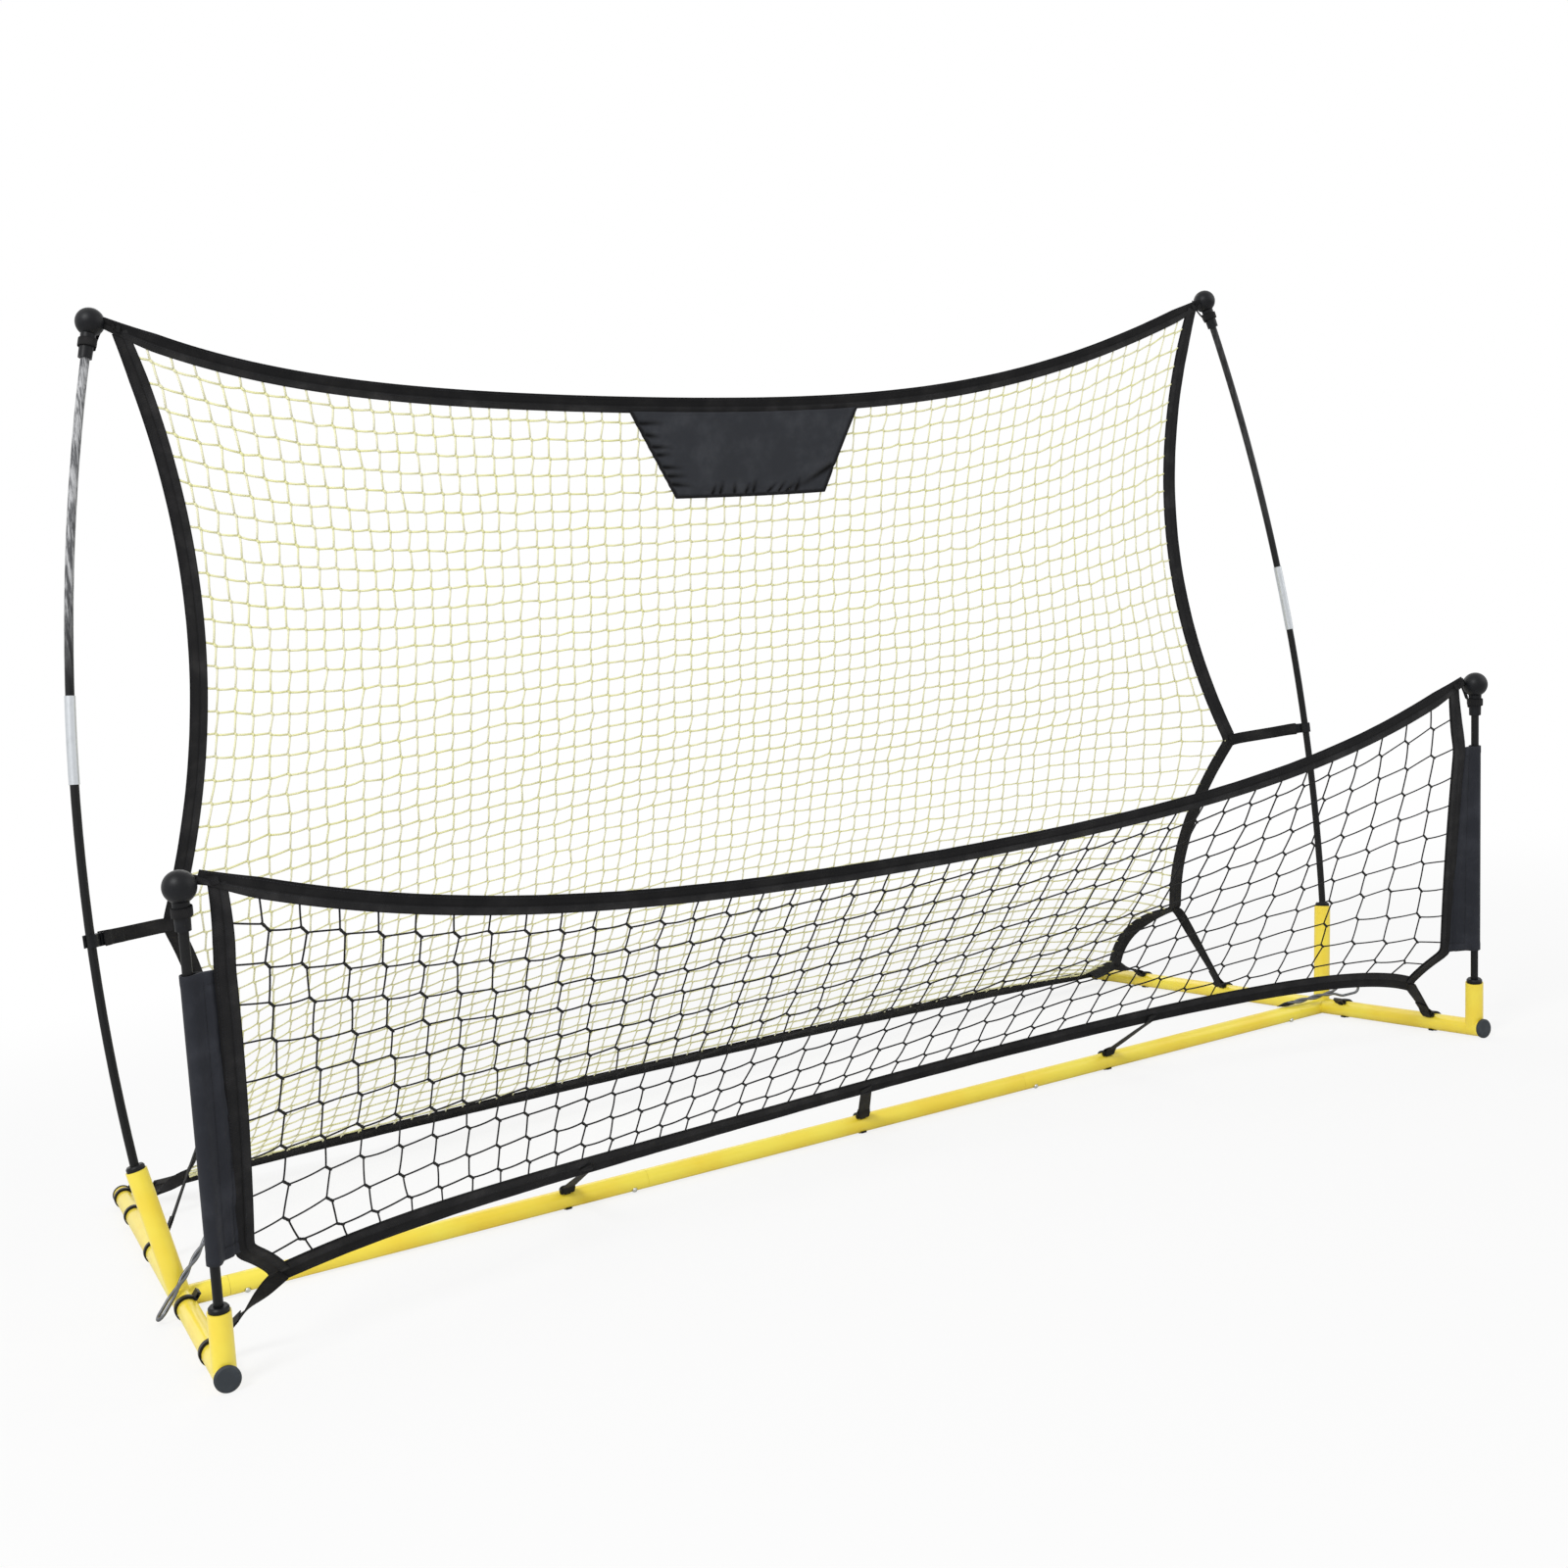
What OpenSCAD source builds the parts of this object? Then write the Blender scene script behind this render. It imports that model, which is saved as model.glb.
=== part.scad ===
// Two-sided ball rebounder: a steel base in the shape of an H, two tall bowed poles that carry
// a large rebound net, and two short poles that carry a low leaning net at the front.
// Millimetres. +X right, +Y to the back, +Z up; the origin is the middle of the footprint.

/* [Base frame] */
// Distance between the centre lines of the two skids
skid_spacing = 1810; // [1600:10:2000]
// Length of each skid ahead of the tee
skid_front = 331; // [300:5:400]
// Length of each skid behind the tee
skid_rear = 610; // [560:5:700]
// Outside diameter of the base tubes
tube_d = 25; // [22:0.5:30]
// Wall thickness of the base tubes
tube_wall = 1.5; // [1:0.1:2.5]
// Length of the middle piece of the cross tube between its two seams
cross_mid = 610; // [500:10:800]
// Distance from a skid's centre line to the seam of the cross tube
tee_stub = 55; // [40:1:90]
// Depth that a swaged tube end plugs in
swage_depth = 40; // [30:1:60]
// Length of a tall socket along its axis
tall_socket = 163; // [120:1:220]
// Outward lean of a tall socket
tall_lean = 10; // [4:0.5:15]
// Length of a short socket along its axis
short_socket = 70; // [55:1:100]
// Distance from the front end of a skid to the foot of its short socket
short_inset = 16; // [14:1:40]

/* [Caps, bushes and buttons] */
// How far the end caps stand proud of the tube, which lifts the tubes off the ground
cap_proud = 1.5; // [1.3:0.1:4]
// Thickness of an end cap's face
cap_face = 4; // [2:0.5:8]
// Height of a socket bush above its socket
bush_face = 6; // [3:0.5:12]
// Length of the spigots inside the tubes
spigot = 18; // [10:1:30]
// Diameter of a snap button
button_d = 7; // [5:0.5:8]
// How far a snap button stands out of its tube
button_proud = 2.6; // [1.5:0.1:3.5]

/* [Poles] */
// Diameter of the fibreglass poles
pole_d = 10.4; // [8:0.2:12]
// Radius of the bow that the net's pull gives the tall poles
bow_r = 2830; // [2200:10:4000]
// Lean of a tall pole at its bush, outwards
bow_start = 5; // [2:0.5:8]
// Length of the lower section of a tall pole above its bush
lower_len = 506; // [420:1:600]
// Length of the upper section of a tall pole up to the middle of its ball
upper_len = 496; // [420:1:600]
// Length of the metal ferrule between the two sections
ferrule_len = 104; // [60:1:150]
// Wall thickness of the ferrule
ferrule_wall = 0.9; // [0.6:0.1:2]
// Backward lean of the tall poles
tall_back = 1.2; // [0:0.1:4]
// Length of a short pole from the skid's centre line to the middle of its ball
short_len = 516; // [450:1:600]
// Forward lean of the short poles
short_lean = 9; // [4:0.5:15]
// Inward lean of the short poles
short_in = 1.6; // [0:0.1:4]

/* [Ball caps] */
// Diameter of the ball on each pole
ball_d = 34; // [28:0.5:44]
// Diameter of the neck under a ball
neck_d = 18; // [15:0.5:22]
// Length of the neck, from the middle of the ball
neck_len = 44; // [34:1:60]

/* [Nets and webbing] */
// Width of the webbing round the nets
hem_w = 20; // [14:1:30]
// Thickness of the folded webbing
hem_t = 2; // [1:0.1:3]
// Width of the straps
strap_w = 18; // [12:1:25]
// Thickness of the straps
strap_t = 1.6; // [1:0.1:2.5]
// Thickness of the net cord
cord_t = 2; // [1.5:0.1:4]
// Width of a net strand
strand_w = 5; // [3:0.5:8]
// Meshes across the big net
big_cols = 16; // [8:1:18]
// Meshes along each leg of the big net's sides, from the top
big_legs = [6, 3, 2, 1]; // [1:1:8]
// Meshes across the front net
low_cols = 24; // [12:1:30]
// Meshes along each leg of the front net's sides, from the top
low_legs = [1, 3, 1]; // [1:1:4]
// Sag of the big net's top edge at its middle
top_sag = 121; // [40:1:160]
// How unevenly the big net's top edge hangs, right against left
top_tilt = 24; // [-40:1:40]
// Sag of the front net's top edge at its middle
low_sag = 109; // [40:1:140]
// How unevenly the front net's bottom edge hangs, right against left
low_tilt = 19; // [-40:1:40]
// Share of the way that the big net's middle pulls straight between its top and bottom edges
net_pull = 0.55; // [0:0.05:0.9]
// Width of the centre patch along its top edge
patch_top = 357; // [200:5:450]
// Width of the centre patch along its bottom edge
patch_low = 241; // [120:5:350]
// Height of the centre patch
patch_h = 141; // [60:1:160]
// How far to the right the middle of the centre patch lies
patch_shift = 11; // [-60:1:60]
// Thickness of the centre patch
patch_t = 1.5; // [1:0.1:3]

/* [Sleeves] */
// Distance along a short pole to the lower edge of its sleeve
sleeve_low = 121; // [105:1:160]
// Distance along a short pole to the upper edge of its sleeve
sleeve_top = 427; // [380:1:460]
// Radius of the tunnel in the sleeve that the pole passes through
tunnel_r = 7; // [6.2:0.1:9]
// Thickness of the sleeve's cloth
sleeve_t = 1.4; // [0.8:0.1:2.5]

/* [Hooks and clips] */
// Width of a tube hook along its tube
hook_w = 8; // [5:1:14]
// Thickness of a tube hook at its bottom
hook_thin = 0.9; // [0.7:0.1:1.1]
// Thickness of a tube hook at its top
hook_thick = 3.4; // [2:0.1:5]
// Width of the slotted lug that holds a strap
lug_w = 20; // [14:1:26]
// Length of the slotted lug that holds a strap
lug_len = 9; // [7:0.5:14]
// Height of the clip on a tall pole, along the pole
clip_h = 15; // [10:1:24]
// Wall of the clip's jaw round the pole
clip_wall = 3.2; // [2:0.1:5]

/* [Stakes] */
// Diameter of the wire of a ground stake
wire_d = 5; // [4:0.5:7]
// Distance between the two legs of a stake's eye
eye_w = 18; // [14:0.5:24]
// Length of a stake's eye
eye_len = 50; // [40:1:70]
// Length of a stake from the end of its eye to its tip
stake_len = 132; // [110:1:220]

/* [Hidden] */

// Fits
slip = 0.15;        // radial clearance of parts that plug into one another
run = 0.35;         // radial clearance of parts that move
seat = 0.3;         // gap between soft or clipped pieces and what they bear on
press_gap = 0.05;   // radial clearance of plugged spigots that don't move
bow_gap = 0.5;      // radial clearance of a straight bore round a bowed pole
knuckle = 0.15;     // how far the bend of a tall pole swells where it leaves its bush

// Base frame
hx = skid_spacing / 2;
tube_r = tube_d / 2;
bore_r = tube_r - tube_wall;
cap_r = tube_r + cap_proud;
axis_z = cap_r;
swage_r = bore_r - slip;
socket_floor = tube_r + 0.6;
ball_r = ball_d / 2;
pole_r = pole_d / 2;

// The footprint runs from the front of the short balls to the faces of the rear caps.
short_y = -skid_front + short_inset;
front_reach = short_y - short_len * sin(short_lean) - ball_r;
rear_reach = skid_rear + cap_face;
tee_y = -(front_reach + rear_reach) / 2;

// Colours
yellow = [0.95, 0.85, 0.25];
black = [0.13, 0.13, 0.14];
cloth = [0.17, 0.18, 0.2];
cream = [0.93, 0.92, 0.78];
steel = [0.75, 0.78, 0.8];

function mix(a, b, t) = a * (1 - t) + b * t;
function unit(v) = v / norm(v);
function mirror_x(p) = [-p[0], p[1], p[2]];

// ---- Places on the right-hand side; the left-hand side is their mirror image ----

// Direction of a short pole and a point along it
short_dir = [-sin(short_in) * cos(short_lean), -sin(short_lean), cos(short_in) * cos(short_lean)];
short_foot = [hx, tee_y + short_y, axis_z];
function on_short(s) = short_foot + short_dir * s;

// A tall pole runs straight up its socket and bows above the bush, in a plane that leans back.
// The bow starts at a place in that plane and its lean lessens as it rises.
bush_top = tall_socket + bush_face;
bow_centre = bush_top * [sin(tall_lean), cos(tall_lean)] + bow_r * [-cos(bow_start), sin(bow_start)];
function on_bow_arc(lean) = bow_centre + bow_r * [cos(lean), -sin(lean)];
tall_foot = [hx, tee_y, axis_z];
function bow_lean(s) = bow_start - s / bow_r * 180 / PI;
function lean_back(p) = [p[0], p[1] * sin(tall_back), p[1] * cos(tall_back)];
function on_tall(s) = tall_foot + lean_back(on_bow_arc(bow_lean(s)));
tall_len = lower_len + upper_len;

// Places of the tube hooks along a skid, from the tee
hook_front = -238;
hook_tee = -55;
hook_b = 232;
hook_c = 456;
hook_d = skid_rear - 30;
// Places of the hooks along the cross tube
cross_hooks = [-418, 28, 462];
// Distance up the bow of each tall pole to its clip; a clip stays where it is pushed
right_clip_at = 290;
left_clip_at = 270;

// Straps, as the way from the net's corner to what the strap holds
clip_strap = [96, -74, 6];
b_strap = [50, -52, -154];
c_strap = [68, 0, -42];
d_strap = [32, -6, -5];
front_strap = [76, 32, -76];

// From the pole to the webbing's middle line at each corner
top_corner_way = [-30, -5, -10];
low_corner_way = [-36, 5, 1];
window_way = [-35, -4, 0];
sleeve_way = [-33, 23, 0];

// Corners of the webbing's middle line on the big net's right-hand side, from its top
corner_top = on_tall(tall_len) + top_corner_way;
corner_clip = on_tall(right_clip_at) - clip_strap;
corner_b = [hx, tee_y + hook_b, axis_z] - b_strap;
corner_c = [hx, tee_y + hook_c, axis_z] - c_strap;
corner_d = [hx, tee_y + hook_d, axis_z] - d_strap;
big_corners = [corner_top, corner_clip, corner_b, corner_c, corner_d];
big_sags = [[-63, 24, 0], [-22, 12, 0], [-15, 12, 16], [-10, 0, -2]];

// Corners of the webbing's middle line on the front net's right-hand side, from its top
low_top = on_short(short_len) + low_corner_way;
low_window = on_short(sleeve_top) + window_way;
low_sleeve = on_short(sleeve_low) + sleeve_way;
low_bottom = [hx, tee_y + hook_front, axis_z] - front_strap;
low_corners = [low_top, low_window, low_sleeve, low_bottom];
low_sags = [[-2, 0, 0], [-3, 0, 0], [-4, 2, 0]];

// A point at share t of a chain of edges, each bowed by its sag
function chain_lengths(c) = [for (i = [0:len(c) - 2]) norm(c[i + 1] - c[i])];
function sum_to(v, n) = n <= 0 ? 0 : v[n - 1] + sum_to(v, n - 1);
function chain_marks(c) = let (d = chain_lengths(c), all = sum_to(d, len(d)))
    [for (i = [0:len(d)]) sum_to(d, i) / all];
function chain_leg(m, t, i = 0) = i >= len(m) - 2 || t <= m[i + 1] ? i : chain_leg(m, t, i + 1);
function chain_at(c, sags, m, t) = let (
        i = chain_leg(m, t),
        k = (t - m[i]) / (m[i + 1] - m[i]))
    mix(c[i], c[i + 1], k) + sags[i] * 4 * k * (1 - k);

big_marks = chain_marks(big_corners);
low_marks = chain_marks(low_corners);
big_side_len = sum_to(chain_lengths(big_corners), 4);
low_side_len = sum_to(chain_lengths(low_corners), 3);

// How the edges leave the straight line between their corners, as lengths at their middle
top_back = 12;                  // both top edges, backwards
top_shoulder = 50;              // extra sag of the big net's top edge near its corners
low_shoulder = 54;              // the same on the front net's top edge
big_bottom_arch = [32, 20];     // big net's bottom edge, forwards and up
low_bottom_back = [194, -102, -206];    // front net's bottom edge, backwards, by powers of k * k
low_bottom_rise = [-7, 55, 88];         // and upwards

// Edges of the nets; k runs from -1 at the left to 1 at the right
function big_side(t) = chain_at(big_corners, big_sags, big_marks, t);
function big_top(k) = let (s = 1 - k * k)
    [corner_top[0] * k, corner_top[1] + top_back * s,
        corner_top[2] - (top_sag + top_shoulder * k * k + top_tilt * k * (1 - 1.9 * k * k)) * s];
function big_bottom(k) = let (s = 1 - k * k)
    [corner_d[0] * k, corner_d[1] - big_bottom_arch[0] * s, corner_d[2] + big_bottom_arch[1] * s];
function low_side(t) = chain_at(low_corners, low_sags, low_marks, t);
function low_top_edge(k) = let (s = 1 - k * k)
    [low_top[0] * k, low_top[1] + top_back * s, low_top[2] - (low_sag + low_shoulder * k * k) * s];
function by_powers(c, q) = c[0] + c[1] * q + c[2] * q * q;
function low_bottom_edge(k) = let (s = 1 - k * k, q = k * k)
    [low_bottom[0] * k, low_bottom[1] + by_powers(low_bottom_back, q) * s,
        low_bottom[2] + (by_powers(low_bottom_rise, q) + low_tilt * k) * s];

// A curved sheet that meets four edges
function patch_point(top, bottom, right, u, v) =
    mix(top, bottom, v) + mix(mirror_x(right), right, u);
function big_point(u, v) = let (
        k = 2 * u - 1, top = big_top(k), bottom = big_bottom(k), right = big_side(v),
        corners = mix(mix(mirror_x(corner_top), corner_top, u),
            mix(mirror_x(corner_d), corner_d, u), v),
        pull = net_pull * (1 - k * k))
    mix(patch_point(top, bottom, right, u, v) - corners, mix(top, bottom, v), pull);
function low_point(u, v) = let (
        k = 2 * u - 1, top = low_top_edge(k), bottom = low_bottom_edge(k), right = low_side(v),
        corners = mix(mix(mirror_x(low_top), low_top, u),
            mix(mirror_x(low_bottom), low_bottom, u), v))
    patch_point(top, bottom, right, u, v) - corners;

// Half the width of the webbing as shares of the nets
big_hu = hem_w / 2 / (2 * corner_top[0]);
big_hv = hem_w / 2 / big_side_len;
low_hu = hem_w / 2 / (2 * low_top[0]);
low_hv = hem_w / 2 / low_side_len;
seam = 1.3;   // gap between the webbing and the net

// ---- Sheets ----

// Direction square to a grid of points at one of them
function grid_normal(g, i, j) = let (
        a = max(i - 1, 0), b = min(i + 1, len(g) - 1),
        c = max(j - 1, 0), d = min(j + 1, len(g[0]) - 1))
    unit(cross(g[b][j] - g[a][j], g[i][d] - g[i][c]));

// A closed sheet of one thickness over a grid of points. An open sheet leaves out every second
// cell both ways, which leaves strands with gaps between them.
module sheet(g, t, off = 0, open = false) {
    ni = len(g);
    nj = len(g[0]);
    n = [for (i = [0:ni - 1]) [for (j = [0:nj - 1]) grid_normal(g, i, j)]];
    upper = [for (i = [0:ni - 1]) for (j = [0:nj - 1]) g[i][j] + n[i][j] * (off + t / 2)];
    lower = [for (i = [0:ni - 1]) for (j = [0:nj - 1]) g[i][j] + n[i][j] * (off - t / 2)];
    low = ni * nj;
    function full(i, j) = i >= 0 && j >= 0 && i < ni - 1 && j < nj - 1
        && (!open || i % 2 == 0 || j % 2 == 0);
    function quad(a, b, c, d) = [[a, b, c], [a, c, d]];
    faces = [for (i = [0:ni - 2]) for (j = [0:nj - 2]) if (full(i, j)) let (
            a = i * nj + j, b = a + nj, c = b + 1, d = a + 1)
        each concat(
            quad(a, d, c, b),
            quad(a + low, b + low, c + low, d + low),
            full(i, j - 1) ? [] : quad(a, b, b + low, a + low),
            full(i, j + 1) ? [] : quad(c, d, d + low, c + low),
            full(i - 1, j) ? [] : quad(d, a, a + low, d + low),
            full(i + 1, j) ? [] : quad(b, c, c + low, b + low))];
    polyhedron(points = concat(upper, lower), faces = faces, convexity = 10);
}

// Both edges of each strand, from the strands' middles; the outer two lie against the webbing
function strand_lines(mid, inset, half) = let (n = len(mid) - 1) [for (i = [0:n])
    let (m = i == 0 ? inset + half : i == n ? 1 - inset - half : mid[i]) for (e = [-half, half]) m + e];
function even(n) = [for (i = [0:n]) i / n];
function per_leg(marks, legs) = [for (i = [0:len(legs) - 1]) for (j = [0:legs[i] - 1])
    mix(marks[i], marks[i + 1], j / legs[i]), 1];
function within(v, from, to) = concat([from], [for (x = v) if (x > from && x < to) x], [to]);

// Strand edges across and down both nets, which the webbing follows
big_us = strand_lines(even(big_cols), big_hu + seam / (2 * corner_top[0]), strand_w / 4 / corner_top[0]);
big_vs = strand_lines(per_leg(big_marks, big_legs), big_hv + seam / big_side_len,
    strand_w / 2 / big_side_len);
low_us = strand_lines(even(low_cols), low_hu + seam / (2 * low_top[0]), strand_w / 4 / low_top[0]);
low_vs = strand_lines(per_leg(low_marks, low_legs), low_hv + seam / low_side_len,
    strand_w / 2 / low_side_len);

// A strap between two points, with the direction of its width at each
module strap(p, q, across_p, across_q, w = strap_w, t = strap_t) {
    a = unit(across_p) * w / 2;
    b = unit(across_q) * w / 2;
    sheet([[p - a, p + a], [mix(p - a, q - b, 0.5), mix(p + a, q + b, 0.5)], [q - b, q + b]], t);
}

// ---- Frame pieces, drawn for the right-hand side ----

module at_tee() translate([0, tee_y, axis_z]) children();
module at_right_tee() translate(tall_foot) children();
module at_short() translate(short_foot) rotate([short_lean, -short_in, 0]) children();
module at_tall() translate(tall_foot) rotate([-tall_back, 0, 0]) children();
module tilt_tall() rotate([0, tall_lean, 0]) children();
module along_y(y) translate([0, y, 0]) rotate([-90, 0, 0]) children();
module along_x() rotate([0, 90, 0]) children();

// Round bar along the bow from one distance to another
module bow_bar(from, to, r, bore = 0)
    translate([bow_centre[0], 0, bow_centre[1]]) rotate([90, 0, 0]) rotate([0, 0, -bow_lean(from)])
        rotate_extrude(angle = bow_lean(from) - bow_lean(to), $fn = 256) translate([bow_r, 0]) difference() {
            circle(r, $fn = 32);
            if (bore > 0) circle(bore, $fn = 32);
        }

// A frame whose Z axis follows the bow at one distance along it
module on_bow(s) let (p = on_bow_arc(bow_lean(s)))
    translate([p[0], 0, p[1]]) rotate([0, bow_lean(s), 0]) children();

// Skid, its two sockets and the stub for the cross tube are welded into one piece
module skid() color(yellow) {
    difference() {
        union() {
            at_right_tee() along_y(-skid_front) cylinder(r = tube_r, h = skid_front + skid_rear, $fn = 64);
            at_short() cylinder(r = tube_r, h = short_socket, $fn = 64);
            at_tall() tilt_tall() translate([0, 0, 2]) cylinder(r = tube_r, h = tall_socket - 2, $fn = 64);
            at_right_tee() rotate([0, -90, 0]) cylinder(r = tube_r, h = tee_stub, $fn = 64);
            at_right_tee() rotate([0, -90, 0]) cylinder(r = swage_r, h = tee_stub + swage_depth, $fn = 64);
        }
        at_right_tee() along_y(-skid_front - 1)
            cylinder(r = bore_r, h = skid_front + skid_rear + 2, $fn = 64);
        at_short() translate([0, 0, socket_floor]) cylinder(r = bore_r, h = short_socket, $fn = 64);
        at_tall() tilt_tall() translate([0, 0, socket_floor]) cylinder(r = bore_r, h = tall_socket, $fn = 64);
        at_right_tee() rotate([0, -90, 0]) translate([0, 0, socket_floor])
            cylinder(r = swage_r - tube_wall, h = tee_stub + swage_depth, $fn = 64);
        button_hole(hx - tee_stub - button_from_seam);
    }
}

// Snap buttons point to the front and down
button_from_seam = 20;
button_turn = 45;
module at_button(x) at_tee() translate([x, 0, 0]) rotate([90 + button_turn, 0, 0]) children();
module button_hole(x) at_button(x) cylinder(d = button_d + 2 * run, h = cap_r * 2, $fn = 32);

// Cross tube pieces: full tubes at the sides, swaged ends on the middle one
module cross_side() color(yellow) difference() {
    from = cross_mid / 2;
    to = hx - tee_stub - seat;
    at_tee() translate([from, 0, 0]) along_x() difference() {
        cylinder(r = tube_r, h = to - from, $fn = 64);
        translate([0, 0, -1]) cylinder(r = bore_r, h = to - from + 2, $fn = 64);
    }
    button_hole(cross_mid / 2 + button_from_seam);
    button_hole(hx - tee_stub - button_from_seam);
}
module cross_middle() color(yellow) difference() {
    at_tee() along_x() difference() {
        union() {
            cylinder(r = tube_r, h = cross_mid - 2 * seat, center = true, $fn = 64);
            cylinder(r = swage_r, h = cross_mid + 2 * swage_depth, center = true, $fn = 64);
        }
        cylinder(r = swage_r - tube_wall, h = cross_mid + 2 * swage_depth + 2, center = true, $fn = 64);
    }
    for (side = [-1, 1]) button_hole(side * (cross_mid / 2 + button_from_seam));
}

// Snap button with its folded spring strip inside the swaged end. The strip runs inwards.
leaf_w = 7;
leaf_t = 0.8;
leaf_len = 26;
function leaf_face() = sqrt(pow(swage_r - tube_wall, 2) - pow(leaf_w / 2, 2)) - run;
module snap_button(x, inward) color(steel) at_button(x) {
    leaf = leaf_face();
    translate([0, 0, leaf - leaf_t])
        cylinder(d = button_d, h = tube_r + button_proud - leaf + leaf_t - 1, $fn = 32);
    translate([0, 0, tube_r + button_proud - 1])
        cylinder(d1 = button_d, d2 = button_d - 2.4, h = 1, $fn = 32);
    translate([inward > 0 ? -4.5 : -leaf_len + 4.5, -leaf_w / 2, leaf - leaf_t])
        cube([leaf_len, leaf_w, leaf_t]);
    translate([inward * (leaf_len - 4.5), 0, leaf - leaf_t - 4]) rotate([90, 0, 0])
        linear_extrude(leaf_w, center = true) intersection() {
            difference() {
                circle(4 + leaf_t, $fn = 32);
                circle(4, $fn = 32);
            }
            translate([inward > 0 ? 0 : -6, -6]) square([6, 12]);
        }
    translate([inward > 0 ? 4 : -leaf_len + 4.5, -leaf_w / 2, leaf - 2 * leaf_t - 8])
        cube([leaf_len - 8.5, leaf_w, leaf_t]);
}

// End cap; its rim is what the base stands on
module end_cap(y, out) color(black) at_right_tee() translate([0, y, 0]) rotate([-90 * out, 0, 0]) {
    cylinder(r = cap_r, h = cap_face - 1.5, $fn = 64);
    translate([0, 0, cap_face - 1.5]) cylinder(r1 = cap_r, r2 = cap_r - 2, h = 1.5, $fn = 64);
    translate([0, 0, -spigot]) difference() {
        cylinder(r = bore_r - press_gap, h = spigot, $fn = 64);
        translate([0, 0, -1]) cylinder(r = bore_r - 2.5, h = spigot, $fn = 64);
    }
}

// Bush in the mouth of a socket
module bush(bore) color(black) difference() {
    union() {
        cylinder(r = tube_r - 1.6, h = bush_face - 2, $fn = 64);
        translate([0, 0, bush_face - 2]) cylinder(r1 = tube_r - 1.6, r2 = tube_r - 3.2, h = 2, $fn = 64);
        translate([0, 0, -spigot]) cylinder(r = bore_r - press_gap, h = spigot, $fn = 64);
    }
    translate([0, 0, -spigot - 1]) cylinder(r = bore, h = spigot + bush_face + 2, $fn = 48);
}
module tall_bush() at_tall() tilt_tall() translate([0, 0, tall_socket]) bush(pole_r + run);
module short_bush() at_short() translate([0, 0, short_socket]) bush(pole_r + run);

// ---- Poles ----

module lower_pole() color(black) at_tall() {
    tilt_tall() translate([0, 0, socket_floor + seat])
        cylinder(r = pole_r, h = bush_top - socket_floor - seat, $fn = 32);
    tilt_tall() translate([0, 0, bush_top]) sphere(pole_r + knuckle, $fn = 64);
    bow_bar(0, lower_len, pole_r);
}
module upper_pole() color(black) at_tall() bow_bar(lower_len + seat, tall_len - 6, pole_r);
module ferrule() color(steel) at_tall()
    bow_bar(lower_len - ferrule_len / 2, lower_len + ferrule_len / 2,
        pole_r + slip + ferrule_wall, pole_r + slip);

// Ball with a drilled neck, along Z from the middle of the ball
module ball_cap() color(black) difference() {
    union() {
        sphere(ball_r, $fn = 64);
        translate([0, 0, -neck_len]) cylinder(d1 = neck_d - 2, d2 = neck_d, h = neck_len, $fn = 48);
    }
    translate([0, 0, -neck_len - 1]) cylinder(r = pole_r + bow_gap, h = neck_len - 4, $fn = 48);
}
module tall_ball() at_tall() on_bow(tall_len) ball_cap();
module short_pole() color(black) at_short() translate([0, 0, socket_floor + seat])
    cylinder(r = pole_r, h = short_len - 6 - socket_floor - seat, $fn = 32);
module short_ball() at_short() translate([0, 0, short_len]) ball_cap();

// ---- Nets ----

module big_net() color(cream) sheet([for (u = big_us) [for (v = big_vs) big_point(u, v)]], cord_t, 0, true);
module big_hem(at) color(black) sheet([for (u = within(big_us, -big_hu, 1 + big_hu))
    [for (v = [at - big_hv, at + big_hv]) big_point(u, v)]], hem_t);
module big_side_hem() color(black) sheet([for (u = [1 - big_hu, 1 + big_hu])
    [for (v = within(big_vs, big_hv + seam / big_side_len, 1 - big_hv - seam / big_side_len))
        big_point(u, v)]], hem_t);

// Patch on the front of the big net, right under its top webbing
module patch() color(cloth) {
    rows = 4;
    cols = 10;
    from = big_hv + seam / big_side_len;
    share = patch_h / big_side_len;
    sheet([for (i = [0:cols]) [for (j = [0:rows])
        let (half = mix(patch_top, patch_low, j / rows) / 2)
        big_point(0.5 + (patch_shift + mix(-half, half, i / cols)) / 2 / corner_top[0],
            from + share * j / rows)]],
        patch_t, -(cord_t / 2 + seat + patch_t / 2));
}

module front_net() color(black) sheet([for (u = low_us) [for (v = low_vs) low_point(u, v)]], cord_t, 0, true);
module low_hem(at) color(black) sheet([for (u = within(low_us, -low_hu, 1 + low_hu))
    [for (v = [at - low_hv, at + low_hv]) low_point(u, v)]], hem_t);
module low_side_hem() color(black) sheet([for (u = [1 - low_hu, 1 + low_hu])
    [for (v = within(low_vs, low_hv + seam / low_side_len, 1 - low_hv - seam / low_side_len))
        low_point(u, v)]], hem_t);

// Cloth sleeve: a tunnel round the short pole and a panel to the net's side webbing
module sleeve() color(cloth) {
    at_short() translate([0, 0, sleeve_low]) difference() {
        cylinder(r = tunnel_r + sleeve_t, h = sleeve_top - sleeve_low, $fn = 32);
        translate([0, 0, -1]) cylinder(r = tunnel_r, h = sleeve_top - sleeve_low + 2, $fn = 32);
    }
    sheet([for (v = within(low_vs, low_marks[1], low_marks[2])) let (
            s = mix(sleeve_top, sleeve_low, (v - low_marks[1]) / (low_marks[2] - low_marks[1])),
            edge = low_point(1 + low_hu, v), way = unit(edge - on_short(s)))
        [on_short(s) + way * (tunnel_r + sleeve_t / 2), mix(on_short(s), edge, 0.6),
            edge - way * (2 * seat + 0.4)]], sleeve_t);
}

// ---- Loops, straps, clips and hooks ----

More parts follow.
